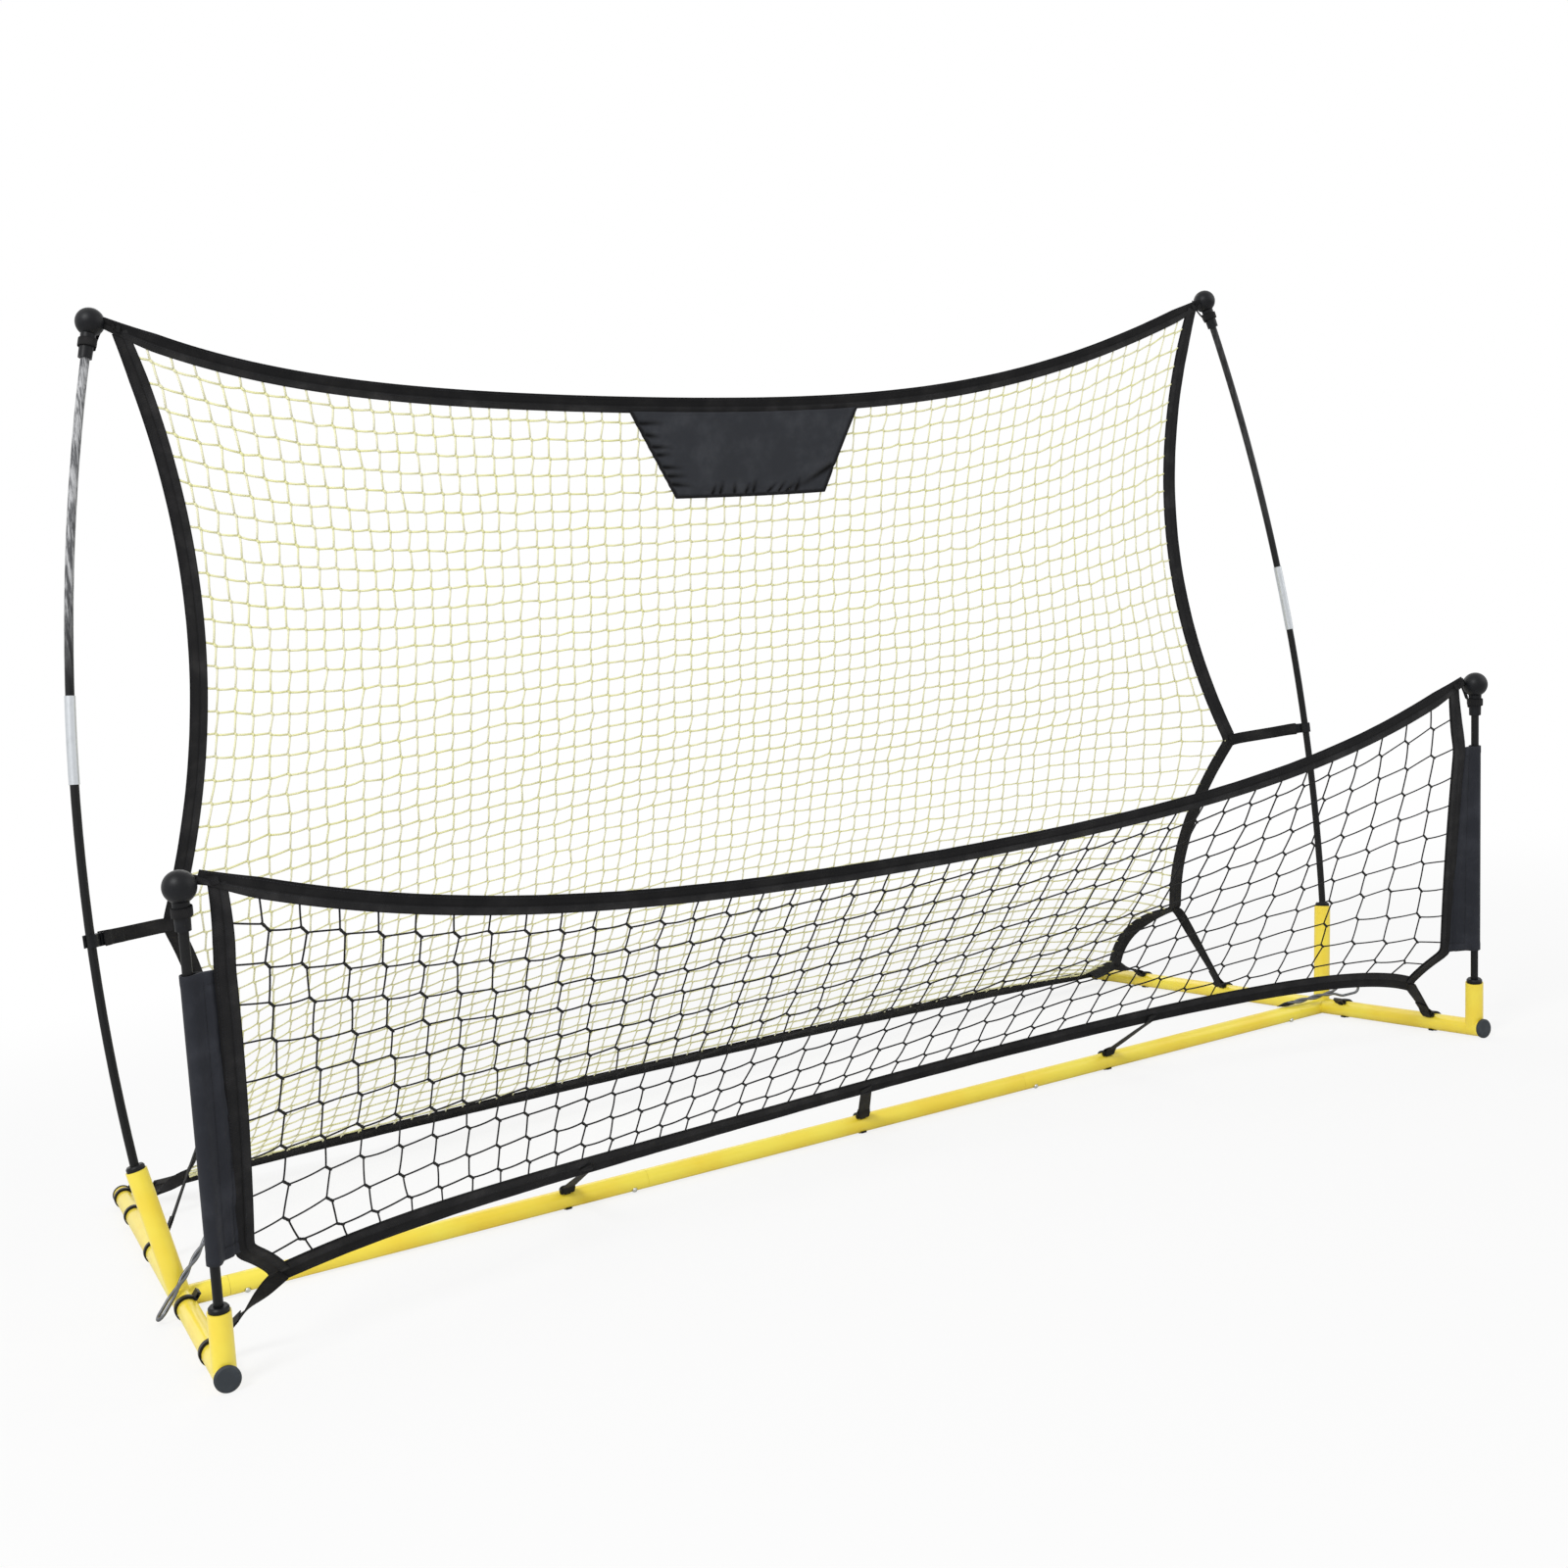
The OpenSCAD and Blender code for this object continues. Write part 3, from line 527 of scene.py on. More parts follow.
WEBBING_TONES = (srgb(34, 34, 35), srgb(62, 61, 61))
SLEEVE_TONES = (srgb(40, 42, 48), srgb(57, 59, 66))
PATCH_TONES = (srgb(47, 49, 54), srgb(66, 68, 73))
THREAD_TONES = (srgb(30, 31, 34), srgb(58, 59, 64))
FINISHES: dict[str, Any] = {
    "yellow_steel": PaintedSteel(),
    "black_plastic": MouldedPlastic(srgb(14, 15, 18), srgb(26, 28, 32), 0.42, 0.22),
    "cap_plastic": MouldedPlastic(srgb(42, 48, 54), srgb(66, 72, 78), 0.6),
    "fibreglass": GlassFibre(),
    "webbing": WovenCloth(*WEBBING_TONES, Weave.WEBBING, 0.0003, 0.85, 0.85),
    "sleeve_cloth": WovenCloth(*SLEEVE_TONES, Weave.OXFORD, 0.00014, 0.72, 0.6),
    "patch_cloth": WovenCloth(*PATCH_TONES, Weave.NYLON, 0.00006, 0.55, 1.0),
    "pale_cord": TwistedCord(srgb(250, 248, 226), srgb(232, 228, 174), srgb(244, 243, 182)),
    "dark_cord": TwistedCord(srgb(30, 30, 31), srgb(12, 12, 12), srgb(40, 40, 40)),
    "plated_steel": BrightMetal(srgb(206, 210, 214), 0.05, 0.28),
    "thread": WovenCloth(*THREAD_TONES, Weave.NYLON, 0.00005, 0.6),
    "wire": BrightMetal(srgb(112, 114, 118), 0.2, 0.34),
}


class Palette:
    """Every finish once, by the name of its slot, or as thread or the stakes' wire."""

    made: ClassVar[dict[str, bpy.types.Material]] = {}

    @classmethod
    def of(cls, name: str) -> bpy.types.Material:
        """The material of that name, made when it is first asked for.

        Args:
            name: a key of the finishes.

        Returns:
            The material.
        """
        if name not in cls.made:
            cls.made[name] = bpy.data.materials.new(name)
            FINISHES[name].dress(Shader(cls.made[name]))
        return cls.made[name]


# --- meshes


class Shape:
    """Points and faces that are gathered first and become one Blender mesh."""

    def __init__(self) -> None:
        """Starts empty."""
        self.points: list[Array] = []
        self.ways: list[Array] = []
        self.quads: list[Array] = []
        self.ends: list[list[int]] = []
        self.count = 0

    def rings(self, points: Array, ways: Array | float = 0.0, caps: bool = True) -> None:
        """Adds a tube, or many at once.

        Args:
            points: rings by corners by 3, or with one more axis in front for many tubes.
            ways: the along, across and round value of each point, or what spreads to them.
            caps: whether the first and the last ring are closed by one face each.
        """
        points = points.reshape(-1, *points.shape[-3:])
        many, rows, corners, _ = points.shape
        start = self.count + np.arange(many)[:, None, None] * rows * corners
        i = np.arange(rows - 1)[None, :, None] * corners
        j = np.arange(corners)[None, None, :]
        k = (j + 1) % corners
        quads = [start + i + j, start + i + k, start + i + corners + k, start + i + corners + j]
        self.quads.append(np.stack(quads, axis=-1).reshape(-1, 4))
        for first in start.ravel().tolist() if caps else []:
            last = first + (rows - 1) * corners
            self.ends.append(list(range(first + corners - 1, first - 1, -1)))
            self.ends.append(list(range(last, last + corners)))
        self.points.append(points.reshape(-1, 3))
        self.ways.append(np.broadcast_to(ways, points.shape).reshape(-1, 3))
        self.count += many * rows * corners

    def tubes(
        self, paths: Array, normals: Array, radii: Array | float, sides: int, mark: float = 0.0
    ) -> None:
        """Adds many round tubes of the same number of points.

        Args:
            paths: tubes by points by 3.
            normals: a direction off each path, or what spreads to it.
            radii: tubes by points, or what spreads to it.
            sides: corners of each ring.
            mark: the across value that all their points get.
        """
        along = unit(np.gradient(paths, axis=1))
        side = unit(np.cross(along, normals))
        top = np.cross(side, along)
        angle = TURN * np.arange(sides) / sides
        ring = (
            side[:, :, None, :] * np.cos(angle)[None, None, :, None]
            + top[:, :, None, :] * np.sin(angle)[None, None, :, None]
        )
        radii = np.broadcast_to(radii, paths.shape[:2])
        points = paths[:, :, None, :] + ring * radii[:, :, None, None]
        steps = np.linalg.norm(np.diff(paths, axis=1), axis=2)
        ways = np.zeros(points.shape)
        ways[:, 1:, :, 0] = np.cumsum(steps, axis=1)[:, :, None]
        ways[..., 1] = mark
        ways[..., 2] = np.abs(np.arange(sides) / sides - 0.5)[None, None, :]
        self.rings(points, ways)

    def build(
        self, name: str, slot: str, finish: str = "", stands_for: str = "", body: str = BODY
    ) -> bpy.types.Object:
        """Makes the mesh, dresses it and hangs it on its body.

        Args:
            name: the piece's name.
            slot: the record's material slot.
            finish: the finish's name where it isn't the slot's own.
            stands_for: the CAD node that it takes the place of, if any.
            body: the CAD body it rides on.

        Returns:
            The new object.
        """
        mesh = bpy.data.meshes.new(name)
        faces = [face for block in self.quads for face in block.tolist()] + self.ends
        mesh.from_pydata(np.concatenate(self.points).tolist(), [], faces)
        mesh.attributes.new("way", "FLOAT_VECTOR", "POINT").data.foreach_set(
            "vector", np.concatenate(self.ways).astype(np.float32).ravel()
        )
        mesh.polygons.foreach_set("use_smooth", np.ones(len(mesh.polygons), bool))
        mesh.update()
        piece = bpy.data.objects.new(name, mesh)
        bpy.context.scene.collection.objects.link(piece)
        mesh.materials.append(Palette.of(finish or slot))
        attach(piece, body)
        if stands_for:
            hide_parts(stands_for)
        points, polygons = len(mesh.vertices), len(mesh.polygons)
        log.info("%s: %d points, %d faces, on %s", name, points, polygons, body)
        return piece


def sheet_shape(middle: Array, thick: Array, ways: Array) -> Shape:
    """A closed sheet of cloth on a grid of middle points.

    Args:
        middle: rows by columns by 3.
        thick: its thickness at each point.
        ways: the along and across value of each point and its share of painted shade, rows by
            columns by 3.

    Returns:
        The sheet, with rounded rims.
    """
    normal = unit(np.cross(np.gradient(middle, axis=0), np.gradient(middle, axis=1)))
    half = (thick / 2)[..., None]
    inward = unit(np.gradient(middle, axis=1)) * half * 0.6
    front, back = middle + normal * half, middle - normal * half
    first, last = middle[:, :1] - inward[:, :1], middle[:, -1:] + inward[:, -1:]
    around = np.concatenate([first, front, last, back[:, ::-1]], axis=1)
    way = np.concatenate([ways[:, :1], ways, ways[:, -1:], ways[:, ::-1]], axis=1)
    shape = Shape()
    shape.rings(around, way, caps=False)
    corners, width = around.shape[1], middle.shape[1]
    for row in (0, middle.shape[0] - 1):
        low = row * corners
        high = low + corners - 1
        faces = [[low + j, low + j + 1, high - j, high - j + 1] for j in range(1, width)]
        faces.append([low, low + 1, high])
        faces.append([low + width, low + width + 1, low + width + 2])
        shape.ends += faces if row else [face[::-1] for face in faces]
    return shape


# --- webbing


@dataclass(frozen=True)
class Strip:
    """A length of webbing: its middle line, the direction across it and its size."""

    path: Array
    across: Array
    width: float
    thick: float
    seed: int
    wander: float = 0.0004
    waves: float = 9.0
    # The share of painted shade that the strip gets; its rolled edges get all of it.
    tone: float = 0.5
    taper: tuple[float, float] = (1.0, 1.0)
    draw_in: float = 0.06
    corners: int = 16
    rim: float = 0.7
    rolled: tuple[float, float] = (0.4, 0.5)
    stitch_share: float = 0.72
    turned_over: float = 0.46
    turned_thick: float = 0.0011
    # The flap gets less painted shade than the strip it is turned from.
    turned_tone: float = 0.08

    @property
    def run(self) -> Array:
        """Distance along the middle line at each of its points."""
        return distances(self.path)

    @property
    def half(self) -> Array:
        """Half the width along the strip, less towards an end that is drawn together.

        Returns:
            A half width for each point.
        """
        run, (first, last) = self.run, self.taper
        start = 1 - (1 - first) * np.clip(1 - run / self.draw_in, 0, 1)
        stop = 1 - (1 - last) * np.clip(1 - (run[-1] - run) / self.draw_in, 0, 1)
        return start * stop * self.width / 2

    @property
    def side(self) -> Array:
        """The direction across the strip at each point, square to its path."""
        ahead = unit(np.gradient(self.path, axis=0))
        return unit(self.across - ahead * (self.across * ahead).sum(axis=1, keepdims=True))

    @property
    def normal(self) -> Array:
        """The direction off the strip's face at each point."""
        return unit(np.cross(np.gradient(self.path, axis=0), self.side))

    def add_to(self, shape: Shape) -> None:
        """Adds the strip, with rolled edges, a little wander and its painted shade.

        Args:
            shape: what it is added to.
        """
        angle = TURN * (np.arange(self.corners) + 0.5) / self.corners
        cosine, sine = np.cos(angle), np.sin(angle)
        wide = (np.sign(cosine) * np.abs(cosine) ** self.rolled[0])[None, :]
        high = (np.sign(sine) * np.abs(sine) ** self.rolled[1])[None, :]
        run = self.run[:, None]
        lift = ripple(run, wide * self.width / 2, self.seed, self.waves, self.wander)
        aside = wide * self.half[:, None]
        height = high * self.thick / 2 + lift
        points = self.path[:, None, :] + self.side[:, None, :] * aside[..., None]
        points = points + self.normal[:, None, :] * height[..., None]
        # Painted shade: the strip's tone, growing to full towards the rolled edges.
        rim = np.clip((np.abs(wide) - self.rim) / (1 - self.rim), 0, 1)
        tone = self.tone + (1 - self.tone) * rim
        ways = np.stack(np.broadcast_arrays(run, aside, tone), axis=-1)
        shape.rings(points, ways)

    def flap(self, side: int, face: int) -> "Strip":
        """The turned-over part of the webbing.

        Args:
            side: 1 or -1, for the edge that is turned over.
            face: 1 or -1, for the face that it lies on.

        Returns:
            The flap, as a narrower strip.
        """
        aside = self.side * (side * (1 - self.turned_over) * self.half)[:, None]
        lift = self.normal * (face * (self.thick / 2 + SEAT))
        return replace(
            self,
            path=self.path + aside + lift,
            width=self.width * self.turned_over,
            thick=self.turned_thick,
            wander=0.0,
            tone=self.turned_tone,
        )

    def part(self, keep: Array) -> "Strip":
        """The strip at the points that are kept, without its wander."""
        return replace(self, path=self.path[keep], across=self.across[keep], wander=0.0)

    def stitches(
        self, shape: Shape, at: float, face: int, pitch: float = 0.0034, bare: float = 0.004
    ) -> None:
        """Adds a row of machine stitches that stand on one face.

        Args:
            shape: what they are added to.
            at: place across, from -1 to 1.
            face: 1 or -1, for the two faces.
            pitch: distance from one stitch to the next.
            bare: length without stitches at both ends.
        """
        run = self.run
        count = max(int((run[-1] - 2 * bare) / pitch), 1)
        places = bare + (np.arange(count) + 0.5) * pitch
        aside = np.full(count, at * self.width / 2)
        lift = ripple(places, aside, self.seed, self.waves, self.wander)
        off = self.normal * face
        line = self.path + self.side * (at * self.half)[:, None] + off * self.thick / 2
        Stitch(pitch * self.stitch_share).sew(shape, (line, off, run), places, lift * face)


@dataclass(frozen=True)
class Stitch:
    """One small domed stitch: places and radii along its length, and its section."""

    length: float
    places: tuple[float, ...] = (-0.5, -0.3, 0.3, 0.5)
    radii: tuple[float, ...] = (0.000147, 0.00042, 0.00042, 0.000147)
    corners: int = 6
    flat: float = 0.8

    def sew(
        self, shape: Shape, seam: tuple[Array, Array, Array], at: Array, lift: Array | float = 0.0
    ) -> None:
        """Adds stitches along a seam.

        Args:
            shape: what they are added to.
            seam: points on the cloth, directions off it, and how far along each of them is.
            at: how far along each stitch is.
            lift: how far each stitch stands higher than the seam.
        """
        line, off, run = seam
        up = unit(sample(off, run, at))
        where = sample(line, run, at) + up * np.reshape(lift, (-1, 1))
        ahead = unit(sample(np.gradient(line, run, axis=0), run, at))
        side = np.cross(ahead, up)
        angle = TURN * np.arange(self.corners) / self.corners
        domed = np.sin(angle) * self.flat + 1 - self.flat
        along = (np.array(self.places) * self.length)[:, None]
        middle = (where[:, None, :] + ahead[:, None, :] * along)[:, :, None, :]
        side, up = side[:, None, None, :], up[:, None, None, :]
        ring = side * np.cos(angle)[:, None] + up * domed[:, None]
        shape.rings(middle + ring * np.array(self.radii)[:, None, None])


def sew_line(
    shape: Shape,
    line: Array,
    off: Array,
    pitch: float = 0.003,
    bare: float = 0.002,
    share: float = 0.7,
) -> None:
    """Adds a row of stitches along any line.

    Args:
        shape: what they are added to.
        line: points on the cloth.
        off: the direction off the cloth at each point.
        pitch: distance from one stitch to the next.
        bare: length without stitches at both ends.
        share: how much of the pitch a stitch takes.
    """
    run = distances(line)
    at = np.arange(bare, run[-1] - bare / 2, pitch)
    Stitch(pitch * share).sew(shape, (line, off, run), at)


def build_webbing(name: str, node: str, webbing: Shape, thread: Shape) -> None:
    """Builds a piece of webbing and the piece of stitching that holds it.

    Args:
        name: how the names of both pieces start.
        node: the CAD node that the webbing stands for.
        webbing: the webbing's shape.
        thread: the stitching's shape.
    """
    webbing.build(f"{name}_webbing", "webbing", stands_for=node)
    thread.build(f"{name}_stitching", "webbing", "thread")


# --- the nets' curved sheets


@dataclass(frozen=True)
class Edge:
    """A net's upper or lower edge: a hanging curve, mirrored but for its tilt."""

    end: Point
    back: tuple[float, ...]
    rise: tuple[float, ...]
    tilt: float = 0.0
    turn: float = 0.0

    def at(self, k: Array) -> Array:
        """Points of the edge.

        Args:
            k: places from -1 at the left end to 1 at the right end.

        Returns:
            A point for each place.
        """
        q = k * k
        back = sum(c * q**i for i, c in enumerate(self.back))
        rise = sum(c * q**i for i, c in enumerate(self.rise)) + self.tilt * k * (1 - self.turn * q)
        x, y, z = self.end
        return np.stack([x * k, y + back * (1 - q), z + rise * (1 - q)], axis=-1)


@dataclass(frozen=True)
class NetSheet:
    """The curved sheet that a net follows, between its four webbed edges.

    Places on it are shares u of its width, from the left, and v of its height, from the top. The
    inner net is pulled straighter than its sides are, and the left side hangs a little slacker than
    the right side does, by the slack at each of its corners.
    """

    corners: tuple[Point, ...]
    sags: tuple[Point, ...]
    top: Edge
    bottom: Edge
    pull: float
    hold: int
    slack: tuple[Point, ...]
    smooth: float = 0.0
    straight: float = 0.0
    bend: float = 0.45
    hangs: tuple[float, float] = (0.5, 0.55)
    stand: float = 0.0
    stand_over: float = 0.06
    near: float = 0.002
    reach: float = 0.005
    side_hold: int = 6
    blur: int = 9
    blur_fade: float = 0.8
    hurry: float = 1.5

    @property
    def marks(self) -> Array:
        """The share of the side's length at which each corner lies."""
        return distances(np.array(self.corners)) / self.side_length

    @property
    def side_length(self) -> float:
        """Length of a side along its corners."""
        return float(distances(np.array(self.corners))[-1])

    @property
    def width(self) -> float:
        """Width between the two upper corners."""
        return 2 * self.corners[0][0]

    def side(self, v: Array) -> Array:
        """Points of the right-hand side.

        Args:
            v: shares of its length.

        Returns:
            A point for each share.
        """
        corners, sags, marks = np.array(self.corners), np.array(self.sags), self.marks
        leg = np.clip(np.searchsorted(marks, v, side="right") - 1, 0, len(sags) - 1)
        k = (v - marks[leg]) / (marks[leg + 1] - marks[leg])
        return blend(corners[leg], corners[leg + 1], k) + sags[leg] * (4 * k * (1 - k))[..., None]

    def at(self, u: Array | float, v: Array | float) -> Array:
        """Points of the sheet, straight to its sides.

        Args:
            u: shares of the width.
            v: shares of the height.

        Returns:
            A point for each pair of shares.
        """
        u, v = np.broadcast_arrays(np.asarray(u, float), np.asarray(v, float))
        k = 2 * u - 1
        right = self.side(v)
        first, last = np.array(self.corners[0]), np.array(self.corners[-1])
        corner_plane = blend(blend(first * FLIP, first, u), blend(last * FLIP, last, u), v)
        straight = blend(self.top.at(k), self.bottom.at(k), v)
        sheet = straight + blend(right * FLIP, right, u) - corner_plane
        pulled = blend(sheet, straight, self.pull * (1 - k**self.hold))
        slack = np.array(self.slack)
        hanging = np.stack([np.interp(v, self.marks, slack[:, i]) for i in range(3)], axis=-1)
        return pulled + hanging * ((1 - u) ** 3)[..., None]

    def taut(self, u: Array, v: Array) -> Array:
        """Points of the inner net, without the sides' corners and with its lower part straighter.

        Args:
            u: shares of the width.
            v: shares of the height.

        Returns:
            A point for each pair of shares.
        """
        free = 1 - (2 * u - 1) ** self.side_hold
        spread = self.smooth * free * np.minimum(v, 1 - v) * 2
        offsets = np.linspace(-1, 1, self.blur)
        weights = 1 - offsets**2 * self.blur_fade
        weights = weights / weights.sum()
        soft = sum(w * self.at(u, v + d * spread) for w, d in zip(weights, offsets))
        below = np.clip((v - self.bend) / (1 - self.bend), 0, 1)
        line = blend(self.at(u, self.bend), self.at(u, 1.0), below)
        share = eased(np.clip(below * self.hurry, 0, 1))
        return blend(soft, line, self.straight * free * share)

    def across_edge(self, u: Array, v: float) -> Array:
        """The direction across the webbing of the upper edge, v 0, or of the lower edge, v 1."""
        reach = self.reach / self.side_length
        return unit(unit(self.at(u, v + reach) - self.at(u, v - reach)) - UP * self.hangs[round(v)])

    def across_side(self, u: float, v: Array) -> Array:
        """The direction across a side's webbing, which stands on edge below the third corner.

        Args:
            u: 0 for the left side, 1 for the right side.
            v: shares of the height.

        Returns:
            A direction for each share.
        """
        reach = self.reach / self.width
        wide = unit(self.at(u + reach, v) - self.at(u - reach, v))
        turned = np.clip((v - self.marks[2]) / self.stand_over, 0, 1) * self.stand * (1 - 2 * u)
        return unit(wide + UP * turned[..., None])

    def normal(self, u: Array | float, v: Array | float) -> Array:
        """Directions off the sheet, towards the thrower.

        Args:
            u: shares of the width.
            v: shares of the height.

        Returns:
            A direction for each pair of shares.
        """
        du = self.at(u + self.near, v) - self.at(u - self.near, v)
        dv = self.at(u, v + self.near) - self.at(u, v - self.near)
        return unit(np.cross(dv, du))


BIG_TOP = (0.81499, -0.08136, 1.16294)
BIG_LOW = (0.873, 0.48536, 0.019)
BIG_SHEET = NetSheet(
    corners=(
        BIG_TOP,
        (0.84879, -0.01709, 0.46402),
        (0.855, 0.18336, 0.168),
        (0.837, 0.35536, 0.056),
        BIG_LOW,
    ),
    sags=((-0.063, 0.024, 0.0), (-0.022, 0.012, 0.0), (-0.015, 0.012, 0.016), (-0.01, 0.0, -0.002)),
    top=Edge(BIG_TOP, (0.012,), (-0.121, -0.05), -0.024, 1.9),
    bottom=Edge(BIG_LOW, (-0.032,), (0.02,)),
    pull=0.55,
    hold=2,
    slack=(
        (0.0, 0.0, 0.0),
        (0.003, 0.0, -0.016),
        (0.045, -0.023, 0.0),
        (0.009, 0.0, 0.001),
        (0.006, 0.0, 0.001),
    ),
    smooth=0.4,
    straight=0.5,
    hangs=(0.0, 0.6),
    stand=1.0,
)
LOW_TOP = (0.85477, -0.49136, 0.52445)
LOW_LOW = (0.829, -0.37064, 0.09)
LOW_SHEET = NetSheet(
    corners=(LOW_TOP, (0.85822, -0.48644, 0.43558), (0.86866, -0.41157, 0.13346), LOW_LOW),
    sags=((-0.002, 0.0, 0.0), (-0.003, 0.0, 0.0), (-0.004, 0.002, 0.0)),
    top=Edge(LOW_TOP, (0.012,), (-0.109, -0.054)),
    bottom=Edge(LOW_LOW, (0.194, -0.102, -0.206), (-0.007, 0.055, 0.088), 0.019),
    pull=1.0,
    hold=6,
    slack=((0.0, 0.0, 0.0),) * 4,
)


# --- netting


@dataclass(frozen=True)
class Knotting:
    """How a net is knotted: its meshes, its cord, and how evenly it is made."""

    columns: int
    rows: int
    cord: float
    knot: float
    shift: float
    wander: float
    sides: int
    steps: int
    seed: int
    drift: float = 0.0
    droop: float = 0.03
    stray: float = 0.01
    lift: float = 0.25
    uneven: tuple[float, float] = (0.75, 1.25)

    @property
    def shares(self) -> tuple[Array, Array]:
        """Shares of the width and of the height at which the cords run."""
        u, v = (np.linspace(0, 1, count + 1)[1:-1] for count in (self.columns, self.rows))
        return u + self.drift * u * (1 - u), v


@dataclass
class Netting:
    """A knotted net on a curved sheet; a knot is a short thick slant from one mesh to the next."""

    name: str
    sheet: NetSheet
    knotting: Knotting
    slot: str
    hem_half: float = 0.0085
    near: float = 0.004
    knot_places: tuple[float, ...] = (-0.28, -0.12, 0.2, 0.5, 0.8, 1.12, 1.28)
    knot_sizes: tuple[float, ...] = (0.45, 0.85, 1.0, 0.82, 1.0, 0.85, 0.45)

    def slants(self) -> tuple[Array, Array, Array]:
        """Where the cords enter and leave every knot, and the direction off the net there.

        Returns:
            Three arrays of columns by rows by 3.
        """
        k, sheet = self.knotting, self.sheet
        draw = np.random.default_rng(SEED + k.seed)
        u, v = np.meshgrid(*k.shares, indexing="ij")
        u = u + draw.normal(0, k.wander / sheet.width, u.shape)
        v = v + draw.normal(0, k.wander / sheet.side_length, v.shape)
        right = unit(sheet.at(u + self.near, v) - sheet.at(u - self.near, v))
        down = unit(sheet.at(u, v + self.near) - sheet.at(u, v - self.near))
        slant = (right + down) * (k.shift * draw.uniform(*k.uneven, u.shape))[..., None]
        middle = sheet.taut(u, v)
        return middle - slant, middle + slant, sheet.normal(u, v)

    def edge_ends(self, share: Array, axis: int, side: int) -> Array:
        """Where cords go in under the webbing, next to their last knots.

        Args:
            share: where along the edge they do.
            axis: 0 for the left and the right side, 1 for the upper and the lower edge.
            side: -1 for the left side or the upper edge, 1 for the other one.

        Returns:
            A point for each share, in an array that fits between the knots.
        """
        fixed = (1.0 + side) / 2
        if axis == 0:
            edge, across = self.sheet.at(fixed, share), self.sheet.across_side(fixed, share)
        else:
            edge, across = self.sheet.at(share, fixed), self.sheet.across_edge(share, fixed)
        return np.expand_dims(edge - across * (side * self.hem_half), axis)

    def build(self) -> None:
        """Builds every cord and knot as one piece that stands for the CAD net."""
        shape = Shape()
        enter, leave, off = self.slants()
        draw = np.random.default_rng(SEED + self.knotting.seed + 1)
        for axis, share in zip((1, 0), self.knotting.shares):
            starts = np.concatenate([self.edge_ends(share, axis, -1), leave], axis)
            stops = np.concatenate([enter, self.edge_ends(share, axis, 1)], axis)
            lifts = np.concatenate([off, off.take([-1], axis)], axis)
            ends = (a.reshape(-1, 3) for a in (starts, stops, lifts))
            self.add_cords(shape, *ends, 1.0 - axis, draw)
        self.add_knots(shape, *(a.reshape(-1, 3) for a in (enter, leave, off)))
        shape.build(f"{self.name}_cords", self.slot, stands_for=self.name)

    def add_cords(
        self,
        shape: Shape,
        start: Array,
        stop: Array,
        lift: Array,
        mark: float,
        draw: np.random.Generator,
    ) -> None:
        """Adds the cords of one direction, each a little slack.

        Args:
            shape: what they are added to.
            start: where each one starts.
            stop: where each one stops.
            lift: the direction off the net at each one.
            mark: the across value that their finish gets.
            draw: where their slack is drawn from.
        """
        k = self.knotting
        t = np.linspace(0, 1, k.steps + 1)
        span = np.linalg.norm(stop - start, axis=1)
        droop = span * draw.uniform(0.0, k.droop, len(span))
        stray = draw.normal(0, k.stray, len(span)) * span
        sideways = unit(np.cross(stop - start, lift)) * stray[:, None] - UP * droop[:, None]
        arch = (4 * t * (1 - t))[:, None]
        path = blend(start[:, None], stop[:, None], t) + sideways[:, None] * arch
        shape.tubes(path, lift[:, None], k.cord / 2, k.sides, mark)

    def add_knots(self, shape: Shape, first: Array, last: Array, off: Array) -> None:
        """Adds the knots, plainer ones where the cords have few steps.

        Args:
            shape: what they are added to.
            first: where the cords enter each one.
            last: where the cords leave it.
            off: the direction off the net there.
        """
        k = self.knotting
        every = slice(None, None, 2 if k.steps < 3 else 1)
        places, sizes = np.array(self.knot_places)[every], np.array(self.knot_sizes)[every]
        path = blend(first[:, None], last[:, None], places) + off[:, None] * (k.lift * k.knot)
        shape.tubes(path, off[:, None], sizes * k.knot / 2, k.sides, 1.0)


BIG_KNOTTING = Knotting(
    columns=62,
    rows=50,
    cord=0.0027,
    knot=0.0038,
    shift=0.001,
    wander=0.001,
    sides=4,
    steps=2,
    seed=51,
)
LOW_KNOTTING = Knotting(
    columns=40,
    rows=11,
    cord=0.0021,
    knot=0.0036,
    shift=0.0024,
    wander=0.0012,
    sides=6,
    steps=5,
    seed=61,
    drift=-0.1,
)


# --- webbing round the nets


